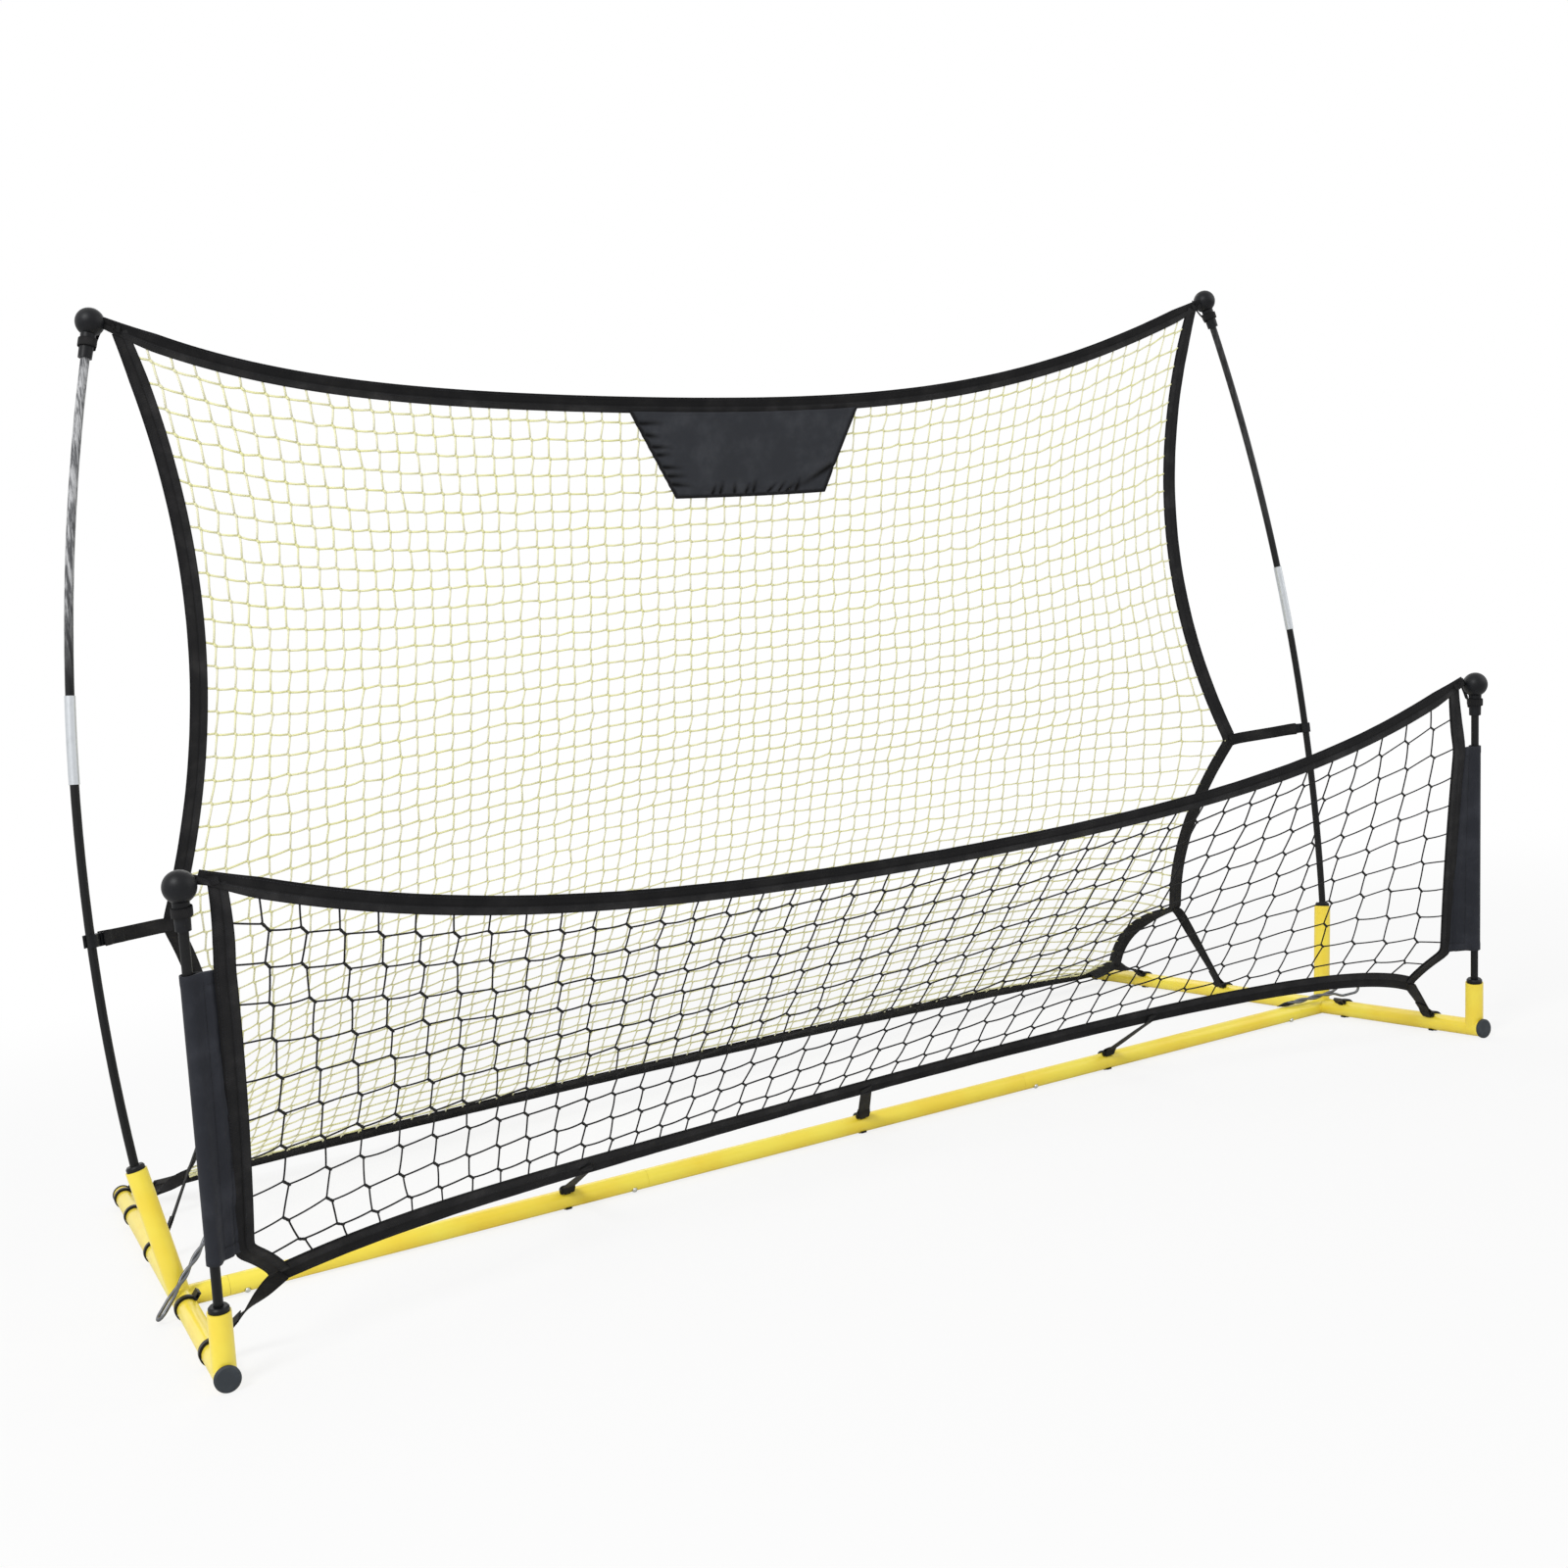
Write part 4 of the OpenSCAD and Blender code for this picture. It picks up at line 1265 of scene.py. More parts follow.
@dataclass
class WebbedEdges:
    """The folded webbing along the four edges of a net, with its two rows of stitches."""

    name: str
    sheet: NetSheet
    width: float = 0.022
    thick: float = 0.0020
    side_thick: float = 0.00176
    step: float = 0.006
    rounds: int = 2
    overlap: float = 0.008
    reach: float = 0.017
    drawn: float = 0.6
    side_drawn: float = 0.85
    # Painted shade of the upper and lower webbing and of the side webbing.
    tone: float = 0.72
    side_tone: float = 0.3
    flap_row: float = 0.55
    edge_row: float = 0.72

    def along(self, v: float, seed: int) -> Strip:
        """Webbing along the upper edge, v 0, or the lower edge, v 1.

        Args:
            v: which edge it is.
            seed: which wander it has.

        Returns:
            The webbing.
        """
        over, drawn = (self.width / 2, 1.0) if v else (self.reach, self.drawn)
        over = over / self.sheet.width
        u = np.linspace(-over, 1 + over, int(self.sheet.width / self.step))
        path, across = self.sheet.at(u, v), self.sheet.across_edge(u, v)
        ends = (drawn, drawn)
        return Strip(path, across, self.width, self.thick, seed, tone=self.tone, taper=ends)

    def down(self, side: Side, seed: int) -> Strip:
        """Webbing down one side, tucked under the upper and lower webbing.

        Args:
            side: which side it is.
            seed: which wander it has.

        Returns:
            The webbing.
        """
        inset = (self.width / 2 - self.overlap) / self.sheet.side_length
        v = np.linspace(inset, 1 - inset, int(self.sheet.side_length / self.step))
        path = softened(self.sheet.at(side.u, v), self.rounds)
        across = softened(self.sheet.across_side(side.u, v), self.rounds)
        tone, ends = self.side_tone, (self.side_drawn, 1.0)
        return Strip(path, across, self.width, self.side_thick, seed, tone=tone, taper=ends)

    def build(self) -> None:
        """Builds the four strips and one piece of stitching for each."""
        strips = {
            "top": (self.along(0.0, 11), 1),
            "bottom": (self.along(1.0, 12), -1),
            "left": (self.down(Side.LEFT, 13), 1),
            "right": (self.down(Side.RIGHT, 14), -1),
        }
        for place, (strip, inner) in strips.items():
            webbing, thread = Shape(), Shape()
            strip.add_to(webbing)
            for face in (-1, 1):
                flap = strip.flap(inner, face)
                flap.add_to(webbing)
                flap.stitches(thread, -self.flap_row * inner, face)
                strip.stitches(thread, -self.edge_row * inner, face)
            build_webbing(f"{self.name}_{place}", f"{self.name}_{place}_hem", webbing, thread)


# --- patch and sleeves


@dataclass(frozen=True)
class Crease:
    """A dent in cloth that starts at a seam and fades out over its length."""

    x: float
    y: float
    turn: float
    length: float
    depth: float = 0.0034
    width: float = 0.0040
    start: float = 0.006
    reach: float = 1.3

    def share(self, x: Array, y: Array) -> Array:
        """How much of the crease each place has.

        Args:
            x: places across the cloth.
            y: places down the cloth.

        Returns:
            Shares from 0 to 1.
        """
        c, h = math.cos(self.turn), math.sin(self.turn)
        along = (x - self.x) * c + (y - self.y) * h
        aside = (y - self.y) * c - (x - self.x) * h
        fade = np.clip(self.reach * (1 - along / self.length), 0, 1)
        fade = fade * np.clip(1 + along / self.start, 0, 1)
        return np.exp(-((aside / self.width) ** 2)) * fade


@dataclass(frozen=True)
class CreaseRow:
    """Like creases along one seam of the patch, unevenly apart."""

    count: int
    start: float
    span: float
    inset: float
    lengths: tuple[float, float]
    depth: float = 0.0034
    width: float = 0.0040
    uneven: tuple[float, float] = (0.2, 0.8)

    def place(self, k: int, draw: np.random.Generator) -> float:
        """How far along the seam the crease with number k lies."""
        return self.start + self.span * (k + draw.uniform(*self.uneven)) / self.count

    def crease(self, x: float, y: float, turn: float, draw: np.random.Generator) -> Crease:
        """One crease of the row."""
        return Crease(x, y, turn, draw.uniform(*self.lengths), self.depth, self.width)


@dataclass
class CentrePatch:
    """The bare trapezoid of cloth under the big net's upper webbing, creased along its seams, with
    painted shade in the creases and along the seams.

    Places on it are shares s of half its width, from -1 to 1, and t of its height, from 0 to 1.
    """

    top: float = 0.357
    low: float = 0.241
    height: float = 0.141
    under: float = 0.0098
    shift: float = 0.006
    skew: float = 0.011
    thick: float = 0.0009
    off: float = 0.0022
    billow: float = 0.0022
    swell: float = 0.0016
    ripples: float = 0.0012
    eased_over: float = 0.02
    fold: float = 0.007
    seam: float = 0.00525
    folded: float = 2.0
    # How wide and how dark the painted shade along the folded seams is.
    border: float = 0.005
    border_reach: float = 1.6
    border_dark: float = 0.9
    long_crease: Crease = Crease(0.134, 0.097, math.radians(149), 0.085, width=0.0052)
    side_row: CreaseRow = CreaseRow(7, 0.08, 0.84, 0.006, (0.024, 0.044))
    side_leans: tuple[float, float] = (-0.1, 0.15)
    low_row: CreaseRow = CreaseRow(9, -0.072, 0.155, 0.005, (0.018, 0.032), 0.003, 0.0034)
    low_lean: float = 60.0
    left_lean: float = 80.0
    left_of: float = -0.02
    lean_wander: float = 22.0
    grid: tuple[int, int] = (281, 121)
    sewn_down: tuple[float, float] = (0.02, 0.96)
    sewn_across: float = 0.95
    seam_points: int = 400

    def half(self, t: Array | float) -> Array | float:
        """Half the patch's width at share t of its height."""
        return (self.top * (1 - t) + self.low * t) / 2

    def on_net(self, s: Array, t: Array) -> tuple[Array, Array]:
        """The shares of the net's width and height at which places of the patch lie."""
        u = 0.5 + (self.shift + self.skew * t + s * self.half(t)) / BIG_SHEET.width
        return u, (self.under + self.height * t) / BIG_SHEET.side_length

    def surface(self, s: Array, t: Array) -> Array:
        """Points of the patch."""
        u, v = self.on_net(s, t)
        return BIG_SHEET.at(u, v) + BIG_SHEET.normal(u, v) * (self.off + self.lift(s, t))[..., None]

    def inset(self, s: Array, t: Array) -> Array:
        """How far in from the patch's sides and its foot each place is."""
        return np.minimum((1 - np.abs(s)) * self.half(t), (1 - t) * self.height)

    def creases(self) -> list[Crease]:
        """Creases along the left seam, along the lower seam, and the long one to the right corner.

        Returns:
            The same creases each time.
        """
        draw = np.random.default_rng(SEED + 31)
        made, row = [self.long_crease], self.side_row
        for k in range(row.count):
            t = row.place(k, draw)
            x = row.inset - self.half(t)
            made.append(row.crease(x, t * self.height, draw.uniform(*self.side_leans), draw))
        row = self.low_row
        for k in range(row.count):
            x = row.place(k, draw)
            lean = self.left_lean if x < self.left_of else self.low_lean
            turned = math.radians(self.lean_wander * draw.uniform(-1, 1) - lean)
            made.append(row.crease(x, self.height - row.inset, turned, draw))
        return made

    def lift(self, s: Array, t: Array) -> Array:
        """How far the cloth stands off its net.

        Args:
            s: shares of half the width.
            t: shares of the height.

        Returns:
            Heights in metres.
        """
        x, y = s * self.half(t), t * self.height
        dents = sum(crease.depth * crease.share(x, y) for crease in self.creases())
        free = np.minimum(self.inset(s, t) / self.eased_over, 1)
        raised = self.billow + (self.swell + ripple(x, y, 32, 5.0, self.ripples)) * free
        return np.maximum(raised - dents, 0.0)

    def build(self) -> None:
        """Builds the patch and its stitches."""
        columns, rows = np.linspace(-1, 1, self.grid[0]), np.linspace(0, 1, self.grid[1])
        s, t = np.meshgrid(columns, rows, indexing="ij")
        x, y, inset = s * self.half(t), t * self.height, self.inset(s, t)
        thick = self.thick * np.where(inset < self.fold, self.folded, 1.0)
        # Painted shade: darker in the creases and along the folded seams.
        creased = np.minimum(sum(crease.share(x, y) for crease in self.creases()), 1.0)
        seamed = np.clip(self.border_reach - inset / self.border, 0, 1) * self.border_dark
        dark = np.maximum(creased, seamed)
        cloth = sheet_shape(self.surface(s, t), thick, np.stack([x, y, dark], axis=-1))
        piece = cloth.build("centre_patch_cloth", "patch_cloth", stands_for="centre_patch")
        thread = Shape()
        down = np.linspace(*self.sewn_down, self.seam_points)
        for side in (-1, 1):
            self.sew_row(thread, side * (1 - self.seam / self.half(down)), down)
        across = np.linspace(-self.sewn_across, self.sewn_across, self.seam_points)
        self.sew_row(thread, across, np.full(self.seam_points, 1 - self.seam / self.height))
        stitching = thread.build("centre_patch_stitching", "patch_cloth", "thread")

    def sew_row(self, thread: Shape, s: Array, t: Array) -> None:
        """Adds one row of stitches along a line of the patch."""
        up = BIG_SHEET.normal(*self.on_net(s, t))
        sew_line(thread, self.surface(s, t) + up * self.thick, up)


@dataclass
class Sleeve:
    """Cloth sewn to the front net's side that wraps round the short pole and back on itself.

    Its sizes are those of the right sleeve; the left one is flipped.
    """

    side: Side
    low: float = 0.121
    high: float = 0.427
    tunnel: float = 0.0074
    neck: float = 1.9
    near: float = 0.06
    behind: float = 0.16
    thick: float = 0.0011
    lap: float = 0.010
    sunk: float = 0.0024
    sunk_over: tuple[float, float] = (0.0095, 0.004)
    fold: float = 0.012
    foot: Point = (0.905, -0.41564, 0.014)
    lean: Point = (-0.02757788, -0.15643447, 0.98730326)
    tucked: float = 0.0012
    folded: float = 1.6
    free_from: float = 0.012
    free_to: float = 0.030
    ripples: tuple[tuple[float, int, float, float], ...] = (
        (2.5, 41, 7.0, 0.0011),
        (1.0, 44, 26.0, 0.0005),
    )
    rows: int = 72
    columns: int = 26
    sewn_columns: tuple[int, ...] = (25, 8)
    sewn_rows: tuple[int, ...] = (3, 68)

    def section(self, s: float, edge: Array) -> Array:
        """The cloth's line round the pole at one height.

        Args:
            s: height along the pole.
            edge: where the line meets the net's webbing.

        Returns:
            Points from the webbing to the pole in front, round it and back behind.
        """
        centre, axis = np.array(self.foot) + np.array(self.lean) * s, np.array(self.lean)
        towards = unit(edge - centre)
        front = unit(np.cross(axis, towards))
        reach = float(np.linalg.norm(edge - centre))
        r, neck = self.tunnel, self.tunnel * self.neck
        flat = np.linspace(reach, neck, self.columns)
        start, length = self.sunk_over
        under = self.sunk * np.clip(1 - (reach - flat - start) / length, 0, 1)
        k = np.linspace(0, 1, 7)[1:-1]
        angle = np.linspace(math.pi / 2, 3 * math.pi / 2, 19)
        parts = [
            (flat, r * self.near - under),
            (neck * (1 - k), r * (self.near + (1 - self.near) * eased(k))),
            (r * np.cos(angle), r * np.sin(angle)),
            (neck * k, -r * (1 - (1 - self.behind) * eased(k))),
            (np.linspace(neck, neck + self.lap, 6), np.full(6, -r * self.behind)),
        ]
        out, off = np.concatenate(parts, axis=1)
        return centre + towards * out[:, None] + front * off[:, None]

    def cloth(self) -> tuple[Array, Array, Array]:
        """The sleeve's middle with its slow ripples.

        Returns:
            Its points, rows by columns by 3, and how far down and how far along each one is.
        """
        marks, share = LOW_SHEET.marks, np.linspace(0, 1, self.rows)
        v = marks[1] + (marks[2] - marks[1]) * share
        edges = LOW_SHEET.at(1.0 + self.tucked / LOW_SHEET.width, v)
        heights = self.high + (self.low - self.high) * share
        middle = np.stack([self.section(s, edge) for s, edge in zip(heights, edges)])
        along = np.stack([distances(line) for line in middle])
        down = np.broadcast_to((self.high - heights)[:, None], along.shape)
        free = np.clip(along / self.free_from, 0, 1)
        free = free * np.clip((self.free_to - along) / self.free_from, 0, 1)
        wander = sum(
            ripple(down, along * stretch, seed + self.side.value, waves, size) * free
            for stretch, seed, waves, size in self.ripples
        )
        middle = (middle + self.normal(middle) * wander[..., None]) * self.side.flip
        return middle, down, along

    def normal(self, middle: Array) -> Array:
        """The direction off the cloth at each of its points."""
        return unit(np.cross(np.gradient(middle, axis=1), np.gradient(middle, axis=0)))

    def build(self) -> None:
        """Builds the sleeve and its stitches."""
        word = self.side.word
        middle, down, along = self.cloth()
        height = self.high - self.low
        hem = np.minimum(down, height - down)
        thick = self.thick * np.where(hem < self.fold, self.folded, 1.0)
        ways = np.stack([down, along, np.zeros(down.shape)], axis=-1)
        cloth = sheet_shape(middle, thick, ways)
        piece = cloth.build(f"{word}_sleeve_cloth", "sleeve_cloth", stands_for=f"{word}_sleeve")
        thread, normal = Shape(), self.normal(middle)
        seams = [((slice(None), column), 0.5) for column in self.sewn_columns]
        seams += [((row, slice(0, self.columns)), self.folded / 2) for row in self.sewn_rows]
        for place, lift in seams:
            for face in (-1, 1):
                up = normal[place] * face
                sew_line(thread, middle[place] + up * (lift * self.thick), up)
        stitching = thread.build(f"{word}_sleeve_stitching", "sleeve_cloth", "thread")


# --- straps and loops


def facing(v: Array, way: Array) -> Array:
    """A vector, or its opposite where that one points more the given way."""
    return v if float(v @ way) > 0 else -v


def tack(thread: Shape, strip: Strip, outward: Array, rows: tuple[float, ...]) -> None:
    """Adds short rows of stitches on the face of a strip that looks outward.

    Args:
        thread: what they are added to.
        strip: the part of a strip that is sewn.
        outward: roughly the direction that the face looks.
        rows: places across, from -1 to 1.
    """
    face = 1 if float((strip.normal @ outward).mean()) > 0 else -1
    for at in rows:
        strip.stitches(thread, at, face, TACK_PITCH, TACK_BARE)


@dataclass(frozen=True)
class Lug:
    """The slotted bar on a hook or clip that a strap is looped over."""

    foot: Array
    out: Array
    along: Array
    length: float = 0.009
    half_thick: float = 0.0022
    rise: ClassVar[float] = 52.0
    off_tube: ClassVar[float] = 0.0016

    @classmethod
    def on_tube(cls, centre: Point, axis: Point, inward: Point) -> "Lug":
        """The lug of a hook on a base tube.

        Args:
            centre: the tube's middle line under the hook.
            axis: the tube's direction.
            inward: the level direction towards the net.

        Returns:
            The lug, which points up and inwards.
        """
        rise = math.radians(cls.rise)
        out = np.array(inward) * math.cos(rise) + UP * math.sin(rise)
        return cls(np.array(centre) + out * (TUBE_R + SEAT + cls.off_tube), out, np.array(axis))

    @property
    def tip(self) -> Array:
        """The middle of its outer edge."""
        return self.foot + self.out * self.length

    @property
    def over(self) -> Array:
        """The direction off its face."""
        return unit(np.cross(self.along, self.out))


@dataclass(frozen=True)
class Sewn:
    """Where a strap is sewn to a net's webbing."""

    sheet: NetSheet
    u: float
    v: float
    across: Point
    lap: float = 0.012
    half_width: float = 0.010
    lift: float = 0.0026
    lead: float = 0.006
    lead_lift: float = 0.8
    rim: float = 0.6

    @property
    def point(self) -> Array:
        """The middle of the webbing there."""
        return self.sheet.at(self.u, self.v)

    @property
    def normal(self) -> Array:
        """The direction off the net there."""
        return self.sheet.normal(self.u, self.v)

    def landing(self, towards: Array) -> Array:
        """Points from outside the webbing's edge onto its face.

        Args:
            towards: direction from the webbing to the lug.

        Returns:
            Three points, the last one deepest in.
        """
        flat = unit(towards - self.normal * float(towards @ self.normal))
        outward = unit((towards + flat) / 2)
        lift = self.normal * self.lift
        return np.array([
            self.point + outward * (self.half_width + self.lead) + lift * self.lead_lift,
            self.point + flat * self.half_width * self.rim + lift,
            self.point - flat * (self.lap - self.half_width) + lift,
        ])


@dataclass
class Strap:
    """Webbing that loops over a lug, is sewn back to itself and laps over a net's webbing."""

    lug: Lug
    sewn: Sewn
    seed: int
    width: float = 0.018
    thick: float = 0.0015
    lead: float = 0.006
    double: float = 0.020
    twist: float = 0.0
    step: float = 0.0018
    turned_from: float = 0.004
    wander: float = 0.0002
    close: float = 0.56
    on_lug: tuple[float, float, float] = (0.0012, 0.0006, 0.002)
    rows: tuple[float, ...] = (-0.72, 0.0, 0.72)
    sewn_from: float = 0.017
    sewn_to: float = 0.014
    lapped: float = 0.013

    def layer(self, side: int) -> Array:
        """The rough path of one layer.

        Args:
            side: 1 for the layer that goes on to the net, -1 for the short one.

        Returns:
            A few points.
        """
        lug, towards = self.lug, unit(self.sewn.point - self.lug.tip)
        apart = lug.over * ((lug.half_thick + SEAT + self.thick / 2) * side)
        above = facing(unit(np.cross(lug.along, towards)), lug.over)
        above = above * (self.close * self.thick * side)
        first, second, third = (lug.out * place for place in self.on_lug)
        points = [
            lug.foot + first + apart,
            lug.tip + second + apart,
            lug.tip + third + towards * self.lead + above,
            lug.tip + towards * (self.lead + self.double) + above,
        ]
        if side > 0:
            points += list(self.sewn.landing(-towards))
        return np.array(points)

    def strip(self, side: int) -> Strip:
        """One layer as an evenly stepped strip with soft bends.

        Args:
            side: 1 or -1, as for its path.

        Returns:
            The strip, turned from the lug's direction to the webbing's.
        """
        rough = self.layer(side)
        run, path = distances(rough), evened(rough, self.step, 5)
        at = np.linspace(0, run[-1], len(path))
        start = run[2] + self.turned_from
        length = max(run[-2] - start, self.turned_from)
        share = eased(np.clip((at - start) / length, 0, 1)) * (side > 0)
        across = blend(self.lug.along, unit(np.array(self.sewn.across)), share)
        angle = (self.twist * share)[:, None]
        ahead = unit(np.gradient(path, axis=0))
        across = across * np.cos(angle) + np.cross(ahead, across) * np.sin(angle)
        return Strip(path, across, self.width, self.thick, self.seed, self.wander)

    def add_to(self, shape: Shape, thread: Shape) -> None:
        """Adds both layers and the stitches that hold them.

        Args:
            shape: what the webbing is added to.
            thread: what the stitches are added to.
        """
        long = self.strip(1)
        long.add_to(shape)
        self.strip(-1).add_to(shape)
        run = long.run
        doubled = long.part((run > self.sewn_from) & (run < self.sewn_to + self.double))
        tack(thread, doubled, self.lug.over, self.rows)
        lapped = long.part(run > run[-1] - self.lapped)
        tack(thread, lapped, self.sewn.normal, (self.rows[0], self.rows[-1]))


@dataclass
class SideStraps:
    """The five straps of one side: to the pole's clip, three skid hooks and the front hook."""

    side: Side
    hooks: tuple[float, ...] = (0.232, 0.456, 0.580, -0.238)
    clip_inset: float = 0.0032
    clip_reach: float = 0.009
    clip_half: float = 0.004
    clip_out: Point = (-0.096, 0.074, 0.0)

    def skid_lug(self, y: float) -> Lug:
        """The lug of the skid's hook at a place along the skid, from the tee."""
        x = self.side.value
        return Lug.on_tube((x * SKID_X, TEE_Y + y, AXIS_Z), (0.0, 1.0, 0.0), (-x, 0.0, 0.0))

    def clip_lug(self) -> Lug:
        """The lug of the pole's clip.

        Returns:
            The lug, at the inner end of the CAD clip.
        """
        low, high = (np.array(corner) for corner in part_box(f"{self.side.word}_pole_clip"))
        inner = low[0] if self.side is Side.RIGHT else high[0]
        out = unit(np.array(self.clip_out) * self.side.flip)
        tip = np.array([inner, high[1] - self.clip_inset, (low[2] + high[2]) / 2])
        return Lug(tip - out * self.clip_reach, out, UP, self.clip_reach, self.clip_half)

    def build(self) -> None:
        """Builds the side's straps and their stitches."""
        u, marks, right = self.side.u, BIG_SHEET.marks, self.side is Side.RIGHT
        lean = (-0.6, 1.0, -0.3) if right else (0.0, 1.0, -0.2)
        second, third, last, front = (self.skid_lug(y) for y in self.hooks)
        front_lean, twist = ((-0.5, 1.0, 0.0), 0.0) if right else ((0.0, 1.0, 0.0), -math.pi / 2)
        straps = [
            Strap(self.clip_lug(), Sewn(BIG_SHEET, u, marks[1], (0.0, 0.0, 1.0)), 71),
            Strap(second, Sewn(BIG_SHEET, u, marks[2], lean), 72),
            Strap(third, Sewn(BIG_SHEET, u, marks[3], (0.0, 0.4, 1.0)), 73),
            Strap(last, Sewn(BIG_SHEET, u, 1.0, (0.0, 1.0, 0.0)), 74, double=0.006),
            Strap(front, Sewn(LOW_SHEET, u, 1.0, front_lean), 75, twist=twist),
        ]
        webbing, thread = Shape(), Shape()
        for strap in straps:
            strap.add_to(webbing, thread)
        name = f"{self.side.word}_straps"
        build_webbing(name, name, webbing, thread)


@dataclass
class FrontStraps:
    """Short straps from the front net's lower webbing to the hooks on the cross tube."""

    places: tuple[float, ...] = (-0.418, 0.028, 0.462)
    aside: float = -0.025
    double: float = 0.008

    def build(self) -> None:
        """Builds the three straps and their stitches."""
        webbing, thread = Shape(), Shape()
        for k, x in enumerate(self.places):
            lug = Lug.on_tube((x, TEE_Y, AXIS_Z), (1.0, 0.0, 0.0), (0.0, -1.0, 0.0))
            u = 0.5 + (x + self.aside) / (2 * LOW_LOW[0])
            sewn = Sewn(LOW_SHEET, u, 1.0, (1.0, 0.0, 0.12))
            Strap(lug, sewn, 90 + k, double=self.double).add_to(webbing, thread)
        build_webbing("front_straps", "front_straps", webbing, thread)


@dataclass(frozen=True)
class Neck:
    """The ball on a pole and the neck under it."""

    ball: Point
    axis: Point
    ball_r: float = 0.017
    neck_r: float = 0.009


TALL_NECK = Neck((0.84499, -0.07636, 1.17294), (-0.2563, 0.0202, 0.9667))
SHORT_NECK = Neck((0.89077, -0.49636, 0.52345), (-0.02758, -0.15643, 0.9873))


@dataclass
class CornerLoops:
    """Webbing loops wound round both necks, whose tails run up behind the balls to the net."""

    node: str
    neck: Neck
    sheet: NetSheet
    turns: float = 1.15
    last: float = 62.0
    drop: float = 0.0235
    pitch: float = 0.004
    width: float = 0.010
    thick: float = 0.0011
    step: float = 0.0012
    layer: float = 0.6
    turn_points: int = 56
    hug: tuple[float, float, int] = (-38.0, 14.0, 11)
    wander: float = 0.0001
    tail: float = 0.012

    def path(self) -> tuple[Array, Array]:
        """The right loop's way round the neck, up the ball and on to the net.

        Returns:
            Its middle line and the direction off the pole's axis along it.
        """
        corner = Sewn(self.sheet, 1.0, 0.0, (0.0, 0.0, 1.0))
        ball, axis = np.array(self.neck.ball), unit(np.array(self.neck.axis))
        towards = unit(np.cross(np.cross(axis, corner.point - ball), axis))
        aside = facing(np.cross(axis, towards), np.array([0.0, 1.0, 0.0]))
        last = math.radians(self.last)
        angle = np.linspace(last - TURN * self.turns, last, int(self.turn_points * self.turns))
        lap = np.linspace(0, self.turns, len(angle))
        radius = self.neck.neck_r + SEAT + self.thick * self.layer * (1 + lap)
        drop = self.drop + self.pitch * (1 - lap / self.turns)
        around = towards * np.cos(angle)[:, None] + aside * np.sin(angle)[:, None]
        wound = ball - axis * drop[:, None] + around * radius[:, None]
        up = np.radians(np.linspace(*self.hug))[1:, None]
        over = self.neck.ball_r + SEAT + self.thick
        hugging = ball + (around[-1] * np.cos(up) + axis * np.sin(up)) * over
        landing = corner.landing(unit(ball - corner.point))[1:]
        line = evened(np.concatenate([wound, hugging, landing]), self.step, 6)
        from_ball = line - ball
        return line, unit(from_ball - np.outer(from_ball @ axis, axis))

    def build(self) -> None:
        """Builds the left and the right loop as one piece."""
        webbing, thread = Shape(), Shape()
        line, outward = self.path()
        across = unit(np.cross(unit(np.gradient(line, axis=0)), outward))
        for flip in (np.ones(3), FLIP):
            strip = Strip(line * flip, across * flip, self.width, self.thick, 101, self.wander)
            strip.add_to(webbing)
            tail = strip.part(strip.run > strip.run[-1] - self.tail)
            for face in (-1, 1):
                tail.stitches(thread, 0.0, face, TACK_PITCH, TACK_BARE)
        build_webbing(self.node, self.node, webbing, thread)


# --- stakes


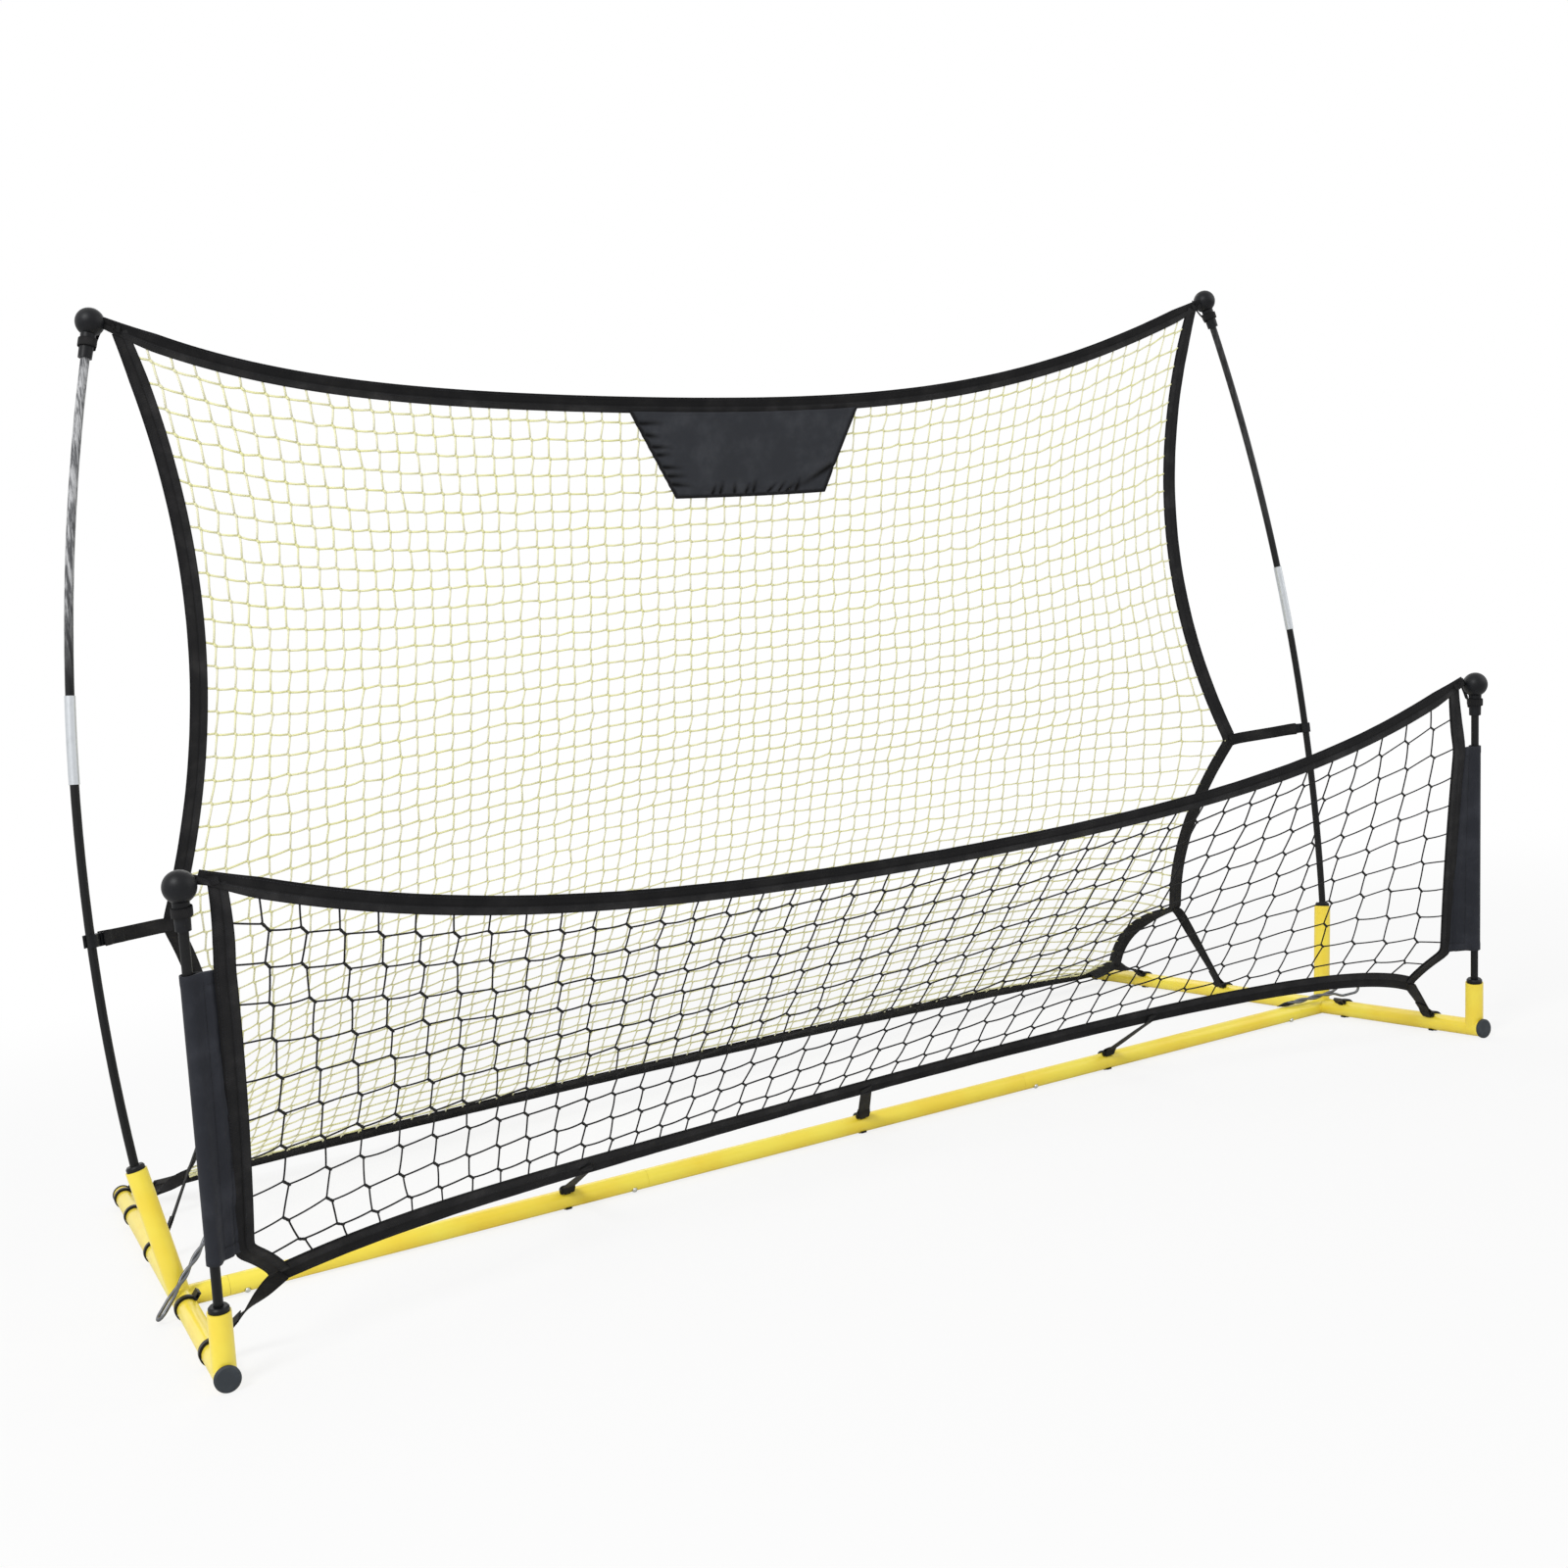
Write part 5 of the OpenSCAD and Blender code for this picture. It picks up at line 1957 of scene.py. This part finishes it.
@dataclass
class Stake:
    """A ground stake: one wire bent into a long eye, its legs twisted together down to a tip."""

    name: str
    body: str
    place: Matrix
    wire: float = 0.0042
    eye_width: float = 0.018
    eye_length: float = 0.050
    length: float = 0.132
    tip: float = 0.016
    pitch: float = 0.052
    sunk: float = 0.002
    touch: float = 0.94
    closes: float = 0.55
    closed_over: float = 2.2
    untwisted: float = 0.6
    collar: float = 0.014
    bevel: float = 0.002
    point: float = 0.004
    wire_corners: int = 14
    tip_corners: int = 20
    tip_radii: tuple[float, ...] = (1.2, 1.62, 1.62, 0.6, 0.12)

    def path(self) -> Array:
        """The wire's middle line in the stake's own frame: one leg, the arch and the other leg.

        Returns:
            Its points, the legs' ends last down.
        """
        half, foot = self.eye_width / 2, self.length - self.tip
        leg = self.eye_length - 2 * half
        angle = np.linspace(0, math.pi, 25)
        arch = half * np.stack([np.cos(angle), np.sin(angle), 0 * angle], axis=1)
        drop = np.linspace(0, 1, 90)[1:]
        closing = (drop * foot - self.closes * leg) / (self.closed_over * half)
        drawn = eased(np.clip(closing, 0, 1))
        spread = half * (1 - drawn) + self.touch * self.wire / 2 * drawn
        down = drop * (foot - self.sunk)
        twist = TURN * np.maximum(down - leg - self.untwisted * half, 0) / self.pitch
        aside, off = spread * np.cos(twist), spread * np.sin(twist)
        left, right = (np.stack([side * aside, -down, side * off], axis=1) for side in (-1, 1))
        return np.concatenate([right[::-1], arch, left])

    def build(self) -> None:
        """Builds the wire and its pointed cap."""
        foot, r = self.length - self.tip, self.wire / 2
        collar = (self.collar - foot, self.collar - self.bevel - foot, -self.bevel - foot)
        stations = (*collar, self.point - self.length, -self.length)
        axis = np.outer(stations, [0.0, 1.0, 0.0])
        wire = self.tube(self.path(), r, self.wire_corners)
        wire.build(f"{self.name}_wire", "plated_steel", "wire", self.name, self.body)
        cap = self.tube(axis, np.array(self.tip_radii) * r, self.tip_corners)
        cap.build(f"{self.name}_tip", "black_plastic", body=self.body)

    def tube(self, line: Array, radii: Array | float, corners: int) -> Shape:
        """A tube of the stake's own frame, moved to where the stake lies.

        Args:
            line: its middle line.
            radii: its radius, or one for each point.
            corners: corners of each ring.

        Returns:
            The tube.
        """
        place, shape = np.array(self.place), Shape()
        turned, move = place[:3, :3].T, place[:3, 3]
        shape.tubes((line @ turned + move)[None], UP @ turned, radii, corners)
        return shape


def turn(degrees: float, axis: str) -> Matrix:
    """A rotation about one axis of the frame."""
    return Matrix.Rotation(math.radians(degrees), 4, axis)


def shift(x: float, y: float, z: float) -> Matrix:
    """A move, in metres."""
    return Matrix.Translation((x, y, z))


SOLID_WIRE = 0.005  # the wire of the CAD stakes, whose place these take
LYING = (
    shift(SKID_X + 0.032, TEE_Y - 0.042, AXIS_Z + TUBE_R + SEAT + 0.0147)
    @ turn(-110, "Z")
    @ turn(5.3, "X")
    @ turn(90, "Y")
)
LEANING = (
    shift(-SKID_X, TEE_Y - 0.0368, AXIS_Z)
    @ turn(-45, "Y")
    @ shift(-0.020, 0.0, TUBE_R + 0.8 * SOLID_WIRE + SEAT)
    @ turn(113, "Z")
)


# --- pieces that keep their CAD shape


class HardParts:
    """CAD nodes that are right as they are and only get their finish."""

    endings: ClassVar[dict[str, tuple[str, ...]]] = {
        "yellow_steel": ("skid", "cross_tube_left", "cross_tube_middle", "cross_tube_right"),
        "black_plastic": ("bush", "ball", "hooks", "clip"),
        "cap_plastic": ("cap",),
        "fibreglass": ("pole",),
        "plated_steel": ("button", "ferrule"),
    }

    def build(self) -> None:
        """Gives every hard node its material, and leaves cloth and cord alone."""
        for name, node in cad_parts.items():
            for slot, words in self.endings.items():
                if name.endswith(words):
                    node.data.materials.clear()
                    node.data.materials.append(Palette.of(slot))
                    log.info("%s: CAD shape, %s", name, slot)


# --- camera, floor and light


@dataclass(frozen=True)
class Camera:
    """The view from the front left, a little above the base."""

    place: Point = (-1.1223, -2.30394, 0.6421)
    azimuth: float = 26.484
    elevation: float = -3.091
    roll: float = -7.207
    focal_px: float = 1801.52
    image_px: float = 1600.0
    sensor: float = 36.0
    near: float = 0.05
    far: float = 200.0

    def build(self) -> None:
        """Makes the scene's camera."""
        data = bpy.data.cameras.new("camera")
        camera = bpy.data.objects.new("camera", data)
        bpy.context.scene.collection.objects.link(camera)
        az, el, roll = (math.radians(a) for a in (self.azimuth, self.elevation, self.roll))
        ahead = Vector((math.sin(az) * math.cos(el), math.cos(az) * math.cos(el), math.sin(el)))
        right = ahead.cross(Vector(UP)).normalized()
        up = right.cross(ahead)
        side = right * math.cos(roll) + up * math.sin(roll)
        top = up * math.cos(roll) - right * math.sin(roll)
        camera.matrix_world = shift(*self.place) @ Matrix((side, top, -ahead)).transposed().to_4x4()
        data.sensor_width = self.sensor
        data.lens = self.focal_px * self.sensor / self.image_px
        data.clip_start, data.clip_end = self.near, self.far
        bpy.context.scene.camera = camera


@dataclass(frozen=True)
class Lamp:
    """A round soft lamp that looks at the object's middle."""

    name: str
    place: Point
    size: float
    power: float
    aim: Point = (0.0, 0.0, 0.45)

    def build(self) -> None:
        """Makes the lamp."""
        data = bpy.data.lights.new(self.name, "AREA")
        data.shape, data.size, data.energy = "DISK", self.size, self.power
        lamp = bpy.data.objects.new(self.name, data)
        bpy.context.scene.collection.objects.link(lamp)
        look = (Vector(self.aim) - Vector(self.place)).to_track_quat("-Z", "Y")
        lamp.matrix_world = shift(*self.place) @ look.to_matrix().to_4x4()


@dataclass
class Studio:
    """A white floor and backdrop under soft light from above and the left."""

    floor_half: float = 20.0
    floor_drop: float = 0.0006
    white: Colour = (0.86, 0.86, 0.86)
    grey: Colour = (0.84, 0.84, 0.84)
    glow: float = 0.82
    fade: tuple[float, float] = (1.2, 3.2)
    ambient: float = 0.55
    lamps: tuple[Lamp, ...] = (
        Lamp("key", (-3.2, -2.6, 3.6), 1.8, 120.0),
        Lamp("fill", (3.4, -2.2, 2.4), 3.0, 24.0),
        Lamp("back", (0.6, 3.6, 3.2), 3.0, 30.0),
    )

    def build(self) -> None:
        """Makes the floor, the world and the lamps."""
        self.floor()
        self.world()
        for lamp in self.lamps:
            lamp.build()

    def floor(self) -> None:
        """Makes a pale floor that keeps a soft shadow and fades to white far away."""
        signs = ((-1, -1), (1, -1), (1, 1), (-1, 1))
        corners = [(x * self.floor_half, y * self.floor_half, -self.floor_drop) for x, y in signs]
        mesh = bpy.data.meshes.new("floor")
        mesh.from_pydata(corners, [], [(0, 1, 2, 3)])
        floor = bpy.data.objects.new("floor", mesh)
        bpy.context.scene.collection.objects.link(floor)
        mesh.materials.append(bpy.data.materials.new("floor"))
        s = Shader(mesh.materials[0])
        where = s.place()
        away = s.add("ShaderNodeVectorMath", {0: where}, "Value", operation="LENGTH")
        colour = s.mix(s.noise(where, 3.0), self.white, self.grey)
        plain = s.add("ShaderNodeBsdfDiffuse", {"Color": colour})
        glow = s.add("ShaderNodeEmission", {"Color": WHITE, "Strength": 1.0})
        seen = s.add("ShaderNodeLightPath", output="Is Camera Ray")
        share = away.ramp(*self.fade) * (1 - self.glow) + self.glow
        s.end(s.add("ShaderNodeMixShader", {0: seen * share, 1: plain, 2: glow}))

    def world(self) -> None:
        """Makes a world that is white where the camera and reflections look, softer as a light."""
        world = bpy.data.worlds.new("studio")
        bpy.context.scene.world = world
        s = Shader(world)
        seen = s.add("ShaderNodeLightPath", output="Is Camera Ray")
        glossy = s.add("ShaderNodeLightPath", output="Is Glossy Ray")
        strength = seen.most(glossy) * (1 - self.ambient) + self.ambient
        surface = s.add("ShaderNodeBackground", {"Color": WHITE, "Strength": strength})
        s.end(surface, "ShaderNodeOutputWorld")


# --- the whole rebounder


def main() -> None:
    """Builds the scene piece by piece, in order."""
    logging.basicConfig(level=logging.INFO, format="%(name)s: %(message)s", stream=sys.stdout)
    record_bounds()
    bpy.context.scene.view_settings.view_transform = "Standard"
    Camera().build()
    Studio().build()
    HardParts().build()
    Netting("big_net", BIG_SHEET, BIG_KNOTTING, "pale_cord").build()
    Netting("front_net", LOW_SHEET, LOW_KNOTTING, "dark_cord").build()
    WebbedEdges("big_net", BIG_SHEET).build()
    WebbedEdges("front_net", LOW_SHEET).build()
    CentrePatch().build()
    for side in Side:
        Sleeve(side).build()
    for side in Side:
        SideStraps(side).build()
    FrontStraps().build()
    CornerLoops("tall_corner_loops", TALL_NECK, BIG_SHEET).build()
    CornerLoops("short_corner_loops", SHORT_NECK, LOW_SHEET).build()
    Stake("left_stake", "left_peg", LEANING).build()
    Stake("right_stake", "right_peg", LYING).build()
    record_bounds()


if __name__ == "__main__":
    main()
